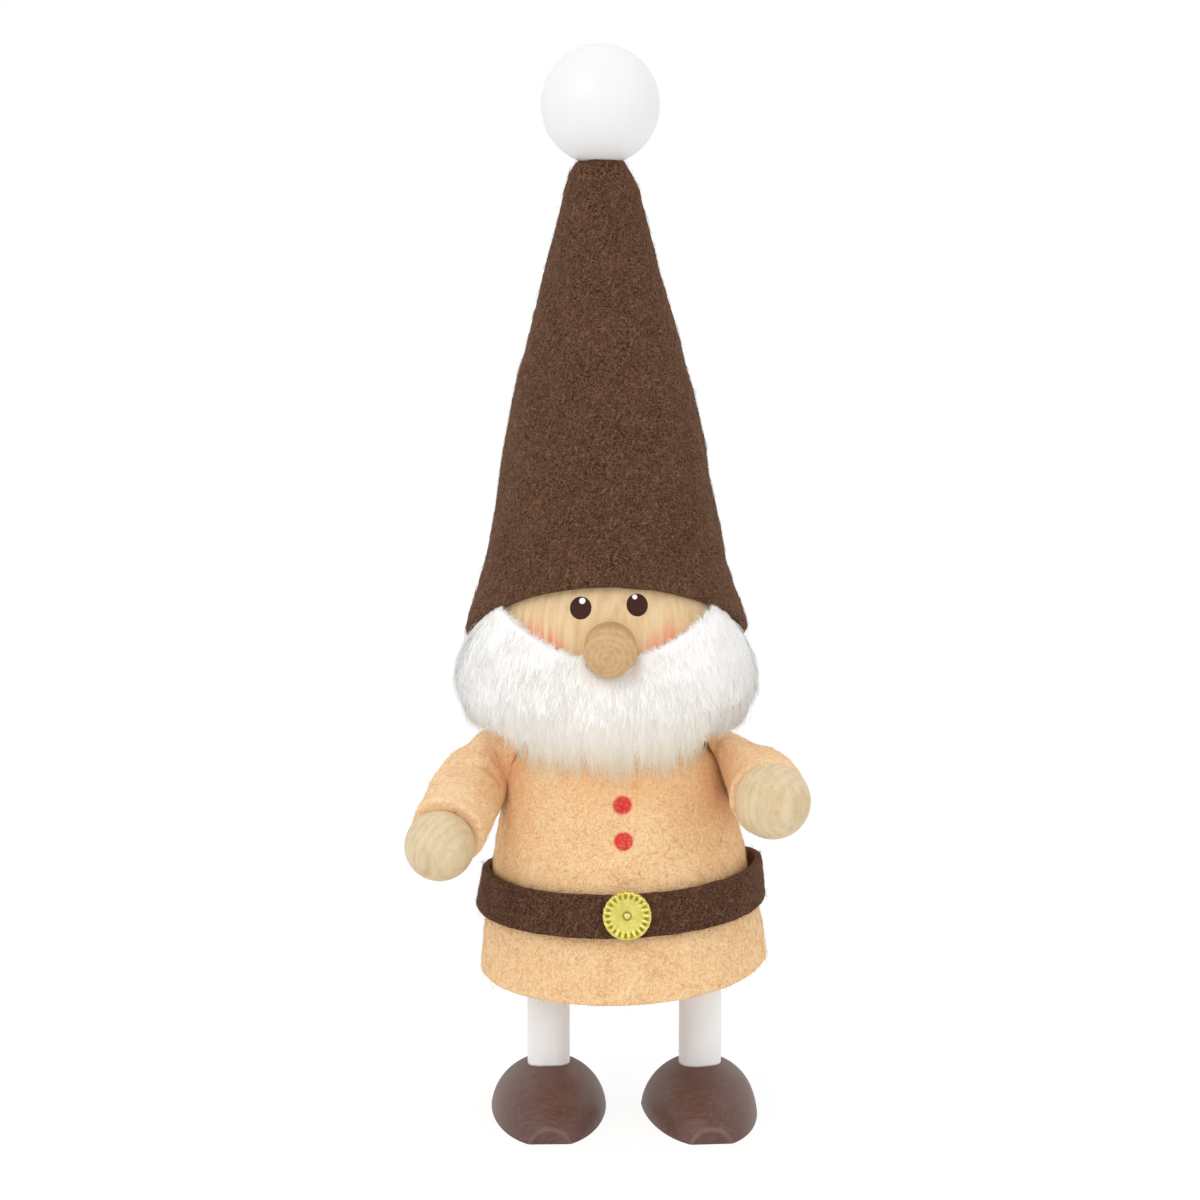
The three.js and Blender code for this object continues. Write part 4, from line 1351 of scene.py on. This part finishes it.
@dataclass
class Beard(Portion):
    """The fur beard: a soft pad from ear to ear and the hairs that grow from it."""

    gap: float = 0.4 * MM
    edge: float = 0.5 * MM
    thickness: float = 3.1 * MM
    top_drop: float = 2.6 * MM
    cheek_rise: float = 3.4 * MM
    cheek_span: float = math.radians(52)
    front_drop: float = 14.4 * MM
    side_drop: float = 12.2 * MM
    front_span: float = math.radians(50)
    span: float = math.radians(110)
    taper: float = math.radians(20)
    nose_radius: float = 3.85 * MM
    nose_drop: float = Head.nose_drop
    nose_shift: float = Head.nose_shift
    brim_slant: float = Hat.brim_slant
    brim_drop: float = Hat.brim_drop
    hair_radius: float = 0.055 * MM
    hair_tip: float = 0.15
    hair_steps: int = 4
    hairs: int = 14000
    hair_mm: tuple[float, float] = (1.4, 2.8)
    front_part: float = math.radians(38)
    fringe_locks: int = 460
    fringe_mm: tuple[float, float] = (2.4, 4.0)
    fringe_share: tuple[float, float] = (0.2, 0.5)
    lock_hairs: int = 18
    wisps: int = 520
    wisp_hairs: int = 6
    wisp_mm: tuple[float, float] = (0.6, 1.5)
    wisp_span: float = 1.2
    wisp_share: tuple[float, float] = (0.96, 1.0)
    soft_middle: float = -7.0 * MM
    soft_rise: float = 0.7
    soft_fold: float = 1.3
    soft_own: float = 0.4
    seed: int = 31

    def build(self) -> None:
        """Builds the pad and its hairs."""
        bm = ring(section=48, sides=180, opening=math.pi - self.span,
                  place=lambda angle, around: self.pad_point(angle - math.pi, around))
        ruffle(bm, size=4.5 * MM, height=0.3 * MM, seed=8.8)
        pad = add_piece(bm, "beard_pad", self.finishes.fur_pad, Body.HEAD, Slot.FUR, ["beard"])
        pad.visible_shadow = False
        self.grow_hairs()

    def top(self, angle: float) -> float:
        """The height of the upper edge, about the head's middle, which dips under the nose."""
        up = min(abs(angle) / self.cheek_span, 1) ** 1.7
        brim = self.brim_slant * math.cos(angle) - self.brim_drop
        height = min(blend(-self.top_drop, self.cheek_rise, up), brim - self.gap)
        x = self.places.head_radius * math.sin(angle) - self.nose_shift
        if abs(angle) < 1 and abs(x) < self.nose_radius:
            height = min(height, -self.nose_drop - math.sqrt(self.nose_radius ** 2 - x * x))
        return height

    def frontness(self, angle: float) -> float:
        """1 in front, where the beard hangs longest, and 0 at the sides."""
        return 1 - smooth_step(self.front_span / 2, self.front_span, abs(angle))

    def bottom(self, angle: float) -> float:
        """The height of the lower edge, about the head's middle."""
        return -blend(self.side_drop, self.front_drop, self.frontness(angle))

    def outside(self, angle: float, share: float) -> Vector:
        """A point on the pad's outside, about the head's middle: share runs from 0 below to 1 above."""
        full = math.sqrt(min(max((self.span - abs(angle)) / self.taper, 0), 1))
        swell = math.sin(math.pi * min(max(share, 0), 1) ** 0.85) ** 0.8 * full
        radius = self.places.head_radius + self.gap + blend(self.edge, self.thickness, swell)
        return round_axis(radius, angle, blend(self.bottom(angle), self.top(angle), share))

    def pad_point(self, angle: float, around: float) -> Vector:
        """A point of the pad's surface, whose section is round outside and follows the head inside."""
        share = 0.5 + 0.5 * math.sin(around)
        point = self.outside(angle, share)
        if math.cos(around) < 0:
            flat = point.to_2d().normalized() * (self.places.head_radius + self.gap)
            point = Vector((flat.x, flat.y, point.z))
        return self.places.head + point

    def root(self, angle: float, share: float) -> tuple[Vector, Vector, Vector, Vector]:
        """A point on the pad's outside, with the ways across, up and out there."""
        step = 0.01
        across = self.outside(angle + step, share) - self.outside(angle - step, share)
        upward = self.outside(angle, min(share + step, 1)) - self.outside(angle, max(share - step, 0))
        normal = across.cross(upward)
        return self.outside(angle, share), across.normalized(), upward.normalized(), normal.normalized()

    def hair(self, point: Vector, start: Vector, end: Vector, length: float, gather: Vector) -> list[Vector]:
        """The points of one hair that leaves a point one way and bends into another."""
        steps = self.hair_steps
        line = [self.places.head + point]
        for i in range(steps):
            way = start.lerp(end, (i + 0.5) / steps).normalized()
            point = point + way * (length / steps) + gather / steps
            line.append(self.places.head + point)
        return line

    def grow_hairs(self) -> None:
        """Grows the hairs, in pieces so that none grows too large."""
        dice = random.Random(self.seed)
        names = ("right", "front", "left", "fringe_right", "fringe_left", "edge")
        parts = {name: Hairs(self.hair_radius, tip=self.hair_tip) for name in names}
        for growth in (self.short_hairs, self.fringe, self.edge_wisps):
            for name, line in growth(dice):
                parts[name].lines.append(line)
        # The front and fringe hairs take the fur with painted coat light.
        coat_light_finishes = {"front": self.finishes.front_fur, "fringe": self.finishes.fringe_fur}
        for name, hairs in parts.items():
            mesh = hairs.mesh(f"beard_fur_{name}")
            fur_finish = coat_light_finishes.get(name.split("_")[0], self.finishes.fur)
            piece = add_mesh(mesh, mesh.name, fur_finish, Body.HEAD, Slot.FUR)
            piece.visible_shadow = False
            piece.visible_diffuse = False
            self.soften(piece.data)

    def short_hairs(self, dice: random.Random) -> Growth:
        """Grows the short hairs that cover the pad, each with the name of its part."""
        for _ in range(self.hairs):
            angle, share = dice.uniform(-self.span, self.span), dice.random()
            point, across, upward, normal = self.root(angle, share)
            in_front = abs(angle) + dice.gauss(0, 0.16) < self.front_part
            part = "front" if in_front else "left" if angle > 0 else "right"
            sway = across * dice.gauss(0, 0.3)
            start = normal * dice.uniform(0.1, 0.7) - upward * 0.8 + sway
            end = normal * dice.uniform(-0.1, 0.3) + DOWN + across * dice.gauss(0, 0.4)
            length = dice.uniform(*self.hair_mm) * MM
            yield part, self.hair(point - normal * 0.15 * MM, start, end, length, Vector())

    def fringe(self, dice: random.Random) -> Growth:
        """Grows the locks that hang from the lower half, each hair with the name of its part."""
        for _ in range(self.fringe_locks):
            angle = dice.uniform(-self.span, self.span)
            share = blend(*self.fringe_share, self.frontness(angle)) * dice.random()
            part = "fringe_right" if angle < 0 else "fringe_left"
            for line in self.lock(angle, share, dice):
                yield part, line

    def edge_wisps(self, dice: random.Random) -> Growth:
        """Grows the wisps that stand up from the upper edge, each hair with the name of its part."""
        for _ in range(self.wisps):
            angle, share = dice.uniform(-self.wisp_span, self.wisp_span), dice.uniform(*self.wisp_share)
            point, across, upward, normal = self.root(angle, share)
            lean = across * dice.gauss(0, 0.6)
            for _ in range(self.wisp_hairs):
                start = upward * 0.7 + normal * 0.4 + lean + across * dice.gauss(0, 0.25)
                end = upward * 0.5 + lean * 1.5 + across * dice.gauss(0, 0.3)
                place = point - normal * 0.2 * MM + across * dice.gauss(0, 0.15) * MM
                length = dice.uniform(*self.wisp_mm) * MM
                yield "edge", self.hair(place, start, end, length, Vector())

    def soften(self, mesh: bpy.types.Mesh) -> None:
        """Lights hairs as one soft mass: their normals lean away from the middle of the beard."""
        middle = self.places.head + Vector((0, 0, self.soft_middle))
        normals = []
        for vert in mesh.vertices:
            away = (vert.co - middle) * Vector((1, 1, self.soft_rise))
            if away.z < 0:
                away.z *= -self.soft_fold * abs(away.x) / away.to_2d().length
            normals.append((away.normalized() + vert.normal * self.soft_own).normalized())
        mesh.normals_split_custom_set_from_vertices(normals)

    def lock(self, angle: float, share: float, dice: random.Random) -> Iterator[list[Vector]]:
        """Grows one tapering lock of the fringe.

        Args:
            angle: Where the lock grows, from the front.
            share: Where it grows, from the lower edge at 0 to the upper edge at 1.
            dice: The source of chance.

        Yields:
            The points of each hair.
        """
        point, across, upward, normal = self.root(angle, share)
        front = self.frontness(angle)
        middle = 0.8 * bump_at(angle, 0.06, 0.4)
        fringe = (blend(*self.fringe_mm, front) + middle) * MM * dice.uniform(0.6, 1.25)
        length = fringe + 0.9 * (point.z - self.bottom(angle))
        sway = across * dice.gauss(0, 0.16)
        outward = Vector((point.x, point.y, 0)).normalized()
        for _ in range(self.lock_hairs):
            offset = across * dice.gauss(0, 0.55) * MM + upward * dice.gauss(0, 0.5) * MM
            start = outward * dice.uniform(0.1, 0.4) + DOWN + sway
            curl = outward * blend(dice.uniform(-1.0, -0.4), dice.uniform(-0.2, 0.05), front)
            end = curl + DOWN + sway + across * dice.gauss(0, 0.1)
            place = point + offset - normal * 0.3 * MM
            yield self.hair(place, start, end, length * dice.uniform(0.5, 1.08), -offset * 0.6)


@dataclass
class Arm(Portion):
    """A wooden arm in its felt sleeve."""

    side: Side
    splay: float
    droop: float
    hand_radius: float
    puff: float
    slope: float
    lift: float
    sink: float
    sink_span: tuple[float, float]
    fold: float
    tuck: float
    tuck_top: float
    stretch: float
    grip: float
    close: float
    cuff_shift: Vector
    length: float = 19.0 * MM
    radius: float = 2.8 * MM
    end: float = 2.6 * MM
    fold_place: float = 5.4 * MM
    fold_width: float = 1.4 * MM
    near_span: tuple[float, float] = (4 * MM, 12 * MM)
    far_span: tuple[float, float] = (7 * MM, 14.5 * MM)
    top_span: tuple[float, float] = (0, 4 * MM)
    puff_span: tuple[float, float] = (0, 4.2 * MM)
    tuck_span: tuple[float, float] = (-1 * MM, 4 * MM)
    slope_reach: float = 3 * MM
    lining_span: tuple[float, float] = (4.5 * MM, 5.2 * MM)
    close_span: tuple[float, float] = (11.5 * MM, 14 * MM)
    voxel: float = 0.28 * MM

    def build(self) -> None:
        """Builds the hand and the sleeve."""
        self.body = Body[f"{self.side.name}_ARM"]
        self.swing = (
            Matrix.Translation(self.places.shoulders[self.side])
            @ Matrix.Rotation(self.droop, 4, "X")
            @ Matrix.Rotation(self.side.value * self.splay, 4, "Z")
        )
        self.make_hand()
        self.make_sleeve()
        self.leave_bare(f"{self.side.word}_shoulder_peg")

    def make_hand(self) -> None:
        """Makes the arm, whose round end is the hand."""
        wrist = math.degrees(math.asin(self.radius / self.hand_radius)) - 90
        end = arc(self.radius, self.radius / 2, self.radius / 2 - self.end, -90, 0, 12)
        ball = arc(self.hand_radius, self.hand_radius, self.length, wrist, 90, 64)
        bm = turned([*end, *ball], sides=112)
        bm.transform(self.swing @ Matrix.Rotation(TURN / 4, 4, "X"))
        name = f"{self.side.word}_hand"
        add_piece(bm, f"{name}_beech", self.finishes.hands[self.side], self.body, Slot.BEECH, [name])

    def make_sleeve(self) -> None:
        """Makes the sleeve from its solid, softened and creased like felt."""
        node = f"{self.side.word}_sleeve"
        mesh = frame["nodes"][node].data.copy()
        rough = bpy.data.objects.new(f"{node}_rough", mesh)
        bpy.context.scene.collection.objects.link(rough)
        for kind, settings in (
            ("WELD", {"merge_threshold": 0.01 * MM}),
            ("REMESH", {"mode": "VOXEL", "voxel_size": self.voxel}),
            ("SMOOTH", {"factor": 0.5, "iterations": 6}),
        ):
            modifier = rough.modifiers.new(kind.lower(), kind)
            for name, value in settings.items():
                setattr(modifier, name, value)
        bpy.context.view_layer.update()
        soft = bpy.data.meshes.new_from_object(rough.evaluated_get(bpy.context.evaluated_depsgraph_get()))
        bpy.data.objects.remove(rough)
        bpy.data.meshes.remove(mesh)
        bm = bmesh.new()
        bm.from_mesh(soft)
        bpy.data.meshes.remove(soft)
        self.settle(bm)
        ruffle(bm, size=3.5 * MM, height=0.22 * MM, seed=6.0 + self.side.value)
        ruffle(bm, size=0.8 * MM, height=0.05 * MM, seed=2.0 + self.side.value)
        piece = add_piece(bm, f"{node}_felt", self.finishes.sleeve, self.body, Slot.PEACH_FELT, [node])
        fuzz = Fuzz(count=2200, seed=41 + self.side.value, length=(0.5 * MM, 1.4 * MM), lift=0.3).grow(
            piece, f"{node}_fuzz", self.finishes.peach_fuzz, self.body, Slot.PEACH_FELT)

    def settle(self, bm: bmesh.types.BMesh) -> None:
        """Settles the sleeve's felt: shapes its shoulder and draws its cuff over the hand.

        Args:
            bm: The sleeve.
        """
        shoulder = self.places.shoulders[self.side]
        home = self.swing.inverted()
        outward = Vector((self.side.value * 0.75, 0, 0.66))
        facing = Vector((self.side.value * 0.3, -0.7, 0.6)).normalized()
        down_arm = self.swing.to_3x3() @ Vector((0, -1, 0))
        for vert in bm.verts:
            at_home = home @ vert.co
            along = -at_home.y
            near = 1 - smooth_step(*self.near_span, along)
            far = smooth_step(*self.far_span, along)
            way = vert.co - shoulder
            shown = smooth_step(-0.1, 0.5, vert.normal.dot(facing))
            in_fold = bump_at(along, self.fold_place, self.fold_width) * shown
            vert.co -= vert.normal * (self.fold * in_fold)
            vert.co += outward * (self.puff * near * smooth_step(*self.puff_span, way.dot(outward)))
            out = self.side.value * way.x
            top = smooth_step(*self.top_span, way.z)
            drop = blend(-self.lift, self.sink, smooth_step(*self.sink_span, out))
            vert.co.z -= (self.slope * max(out + self.slope_reach, 0) + drop) * near * top
            tuck = blend(self.tuck, self.tuck_top, top)
            vert.co.x -= self.side.value * tuck * near * smooth_step(*self.tuck_span, -out)
            around = (vert.co - shoulder - down_arm * along).normalized()
            lining = 1 - smooth_step(*self.lining_span, math.hypot(at_home.x, at_home.z))
            tight = self.grip * far + self.close * lining * smooth_step(*self.close_span, along)
            vert.co += (down_arm * self.stretch + self.cuff_shift) * far - around * tight
        bm.normal_update()


@dataclass
class Studio:
    """The camera, the lamps and the white floor."""

    places: Places
    eye: Vector = field(default_factory=lambda: Vector((-3.1, -350.0, 130.0)) * MM)
    pitch: float = math.radians(9.2)
    lens: float = 76.95
    sensor: float = 36.0
    target: Vector = field(default_factory=lambda: Vector((0, 0, 75)) * MM)
    floor_glow: float = 1.03
    floor_share: float = 0.87
    sky_light: float = 0.85

    def build(self) -> None:
        """Sets up the studio."""
        self.make_camera()
        self.make_floor()
        self.make_world()
        self.add_lamp("key_lamp", (-0.42, -0.55, 0.62), size=0.5, power=1.8)
        self.add_lamp("fill_lamp", (0.6, -0.4, 0.35), size=0.5, power=0.6)
        self.add_lamp("top_lamp", (0.05, 0.25, 0.8), size=0.6, power=0.4)
        bpy.context.scene.view_settings.view_transform = "Standard"

    def make_camera(self) -> None:
        """Puts the camera where the photograph was taken from."""
        data = bpy.data.cameras.new("camera")
        data.lens = self.lens
        data.sensor_width = self.sensor
        data.clip_start = 0.01
        camera = bpy.data.objects.new("camera", data)
        camera.location = self.places.axis + self.eye
        camera.rotation_euler = (TURN / 4 - self.pitch, 0, 0)
        bpy.context.scene.collection.objects.link(camera)
        bpy.context.scene.camera = camera

    def make_floor(self) -> None:
        """Lays a pale floor that looks white and keeps a soft shadow."""
        bm = bmesh.new()
        bmesh.ops.create_grid(bm, x_segments=8, y_segments=8, size=3.0)
        mesh = bpy.data.meshes.new("floor")
        bm.to_mesh(mesh)
        bm.free()
        bench = Bench("floor_white")
        bench.dress(Base_Color=srgb(250, 250, 250), Roughness=0.9, Specular_IOR_Level=0.1)
        glow = bench.add("ShaderNodeEmission", {"Color": (1, 1, 1, 1), "Strength": self.floor_glow})
        share = bench.sums("MULTIPLY", bench.backdrop(), self.floor_share)
        mixed = bench.add("ShaderNodeMixShader", {0: share, 1: bench.shader.outputs[0], 2: glow.outputs[0]})
        bench.give(bench.tree.nodes["Material Output"].inputs["Surface"], mixed.outputs[0])
        mesh.materials.append(bench.material)
        floor = bpy.data.objects.new("floor", mesh)
        bpy.context.scene.collection.objects.link(floor)

    def make_world(self) -> None:
        """Makes a white world that lights softly."""
        world = bpy.data.worlds.new("studio_white")
        world.use_nodes = True
        nodes = Nodes(world.node_tree)
        background = world.node_tree.nodes["Background"].inputs
        nodes.give(background["Color"], (1, 1, 1, 1))
        nodes.give(background["Strength"], nodes.span(nodes.backdrop(), self.sky_light, 1.0))
        bpy.context.scene.world = world

    def add_lamp(self, name: str, place: Sequence[float], size: float, power: float) -> None:
        """Adds a square soft lamp aimed at the doll.

        Args:
            name: The lamp's name.
            place: Where it stands.
            size: The length of its sides.
            power: Its power in watts.
        """
        data = bpy.data.lights.new(name, "AREA")
        data.size = size
        data.energy = power
        lamp = bpy.data.objects.new(name, data)
        lamp.location = place
        lamp.rotation_euler = (self.target - Vector(place)).to_track_quat("-Z", "Y").to_euler()
        bpy.context.scene.collection.objects.link(lamp)


def main() -> None:
    """Builds the doll's looks, piece by piece."""
    logging.basicConfig(level=logging.INFO, format="%(name)s: %(message)s")
    places = Places.of_frame()
    Studio(places).build()
    finishes = Finishes(places)
    Trunk(places, finishes).build()
    Foot(places, finishes, Side.RIGHT, toe_turn=math.radians(1.6)).build()
    Foot(places, finishes, Side.LEFT, toe_turn=math.radians(4.5)).build()
    Head(places, finishes).build()
    Hat(places, finishes).build()
    Beard(places, finishes).build()
    Arm(
        places, finishes, Side.RIGHT, splay=math.radians(15), droop=math.radians(21), hand_radius=4.7 * MM,
        puff=0.8 * MM, slope=0.0, lift=1.15 * MM, sink=1.2 * MM, sink_span=(-1.3 * MM, 1.9 * MM),
        fold=0.55 * MM, tuck=0.2 * MM, tuck_top=0.3 * MM, stretch=1.1 * MM, grip=0.1 * MM, close=1.2 * MM,
        cuff_shift=Vector(),
    ).build()
    Arm(
        places, finishes, Side.LEFT, splay=math.radians(0.5), droop=0.0, hand_radius=5.05 * MM,
        puff=0.0, slope=0.2, lift=1.9 * MM, sink=0.375 * MM, sink_span=(-3.8 * MM, 0.2 * MM),
        fold=0.2 * MM, tuck=1.6 * MM, tuck_top=3.2 * MM, stretch=1.3 * MM, grip=0.16 * MM, close=0.4 * MM,
        cuff_shift=Vector((-0.45, 0, -0.35)) * MM,
    ).build()


if __name__ == "__main__":
    main()
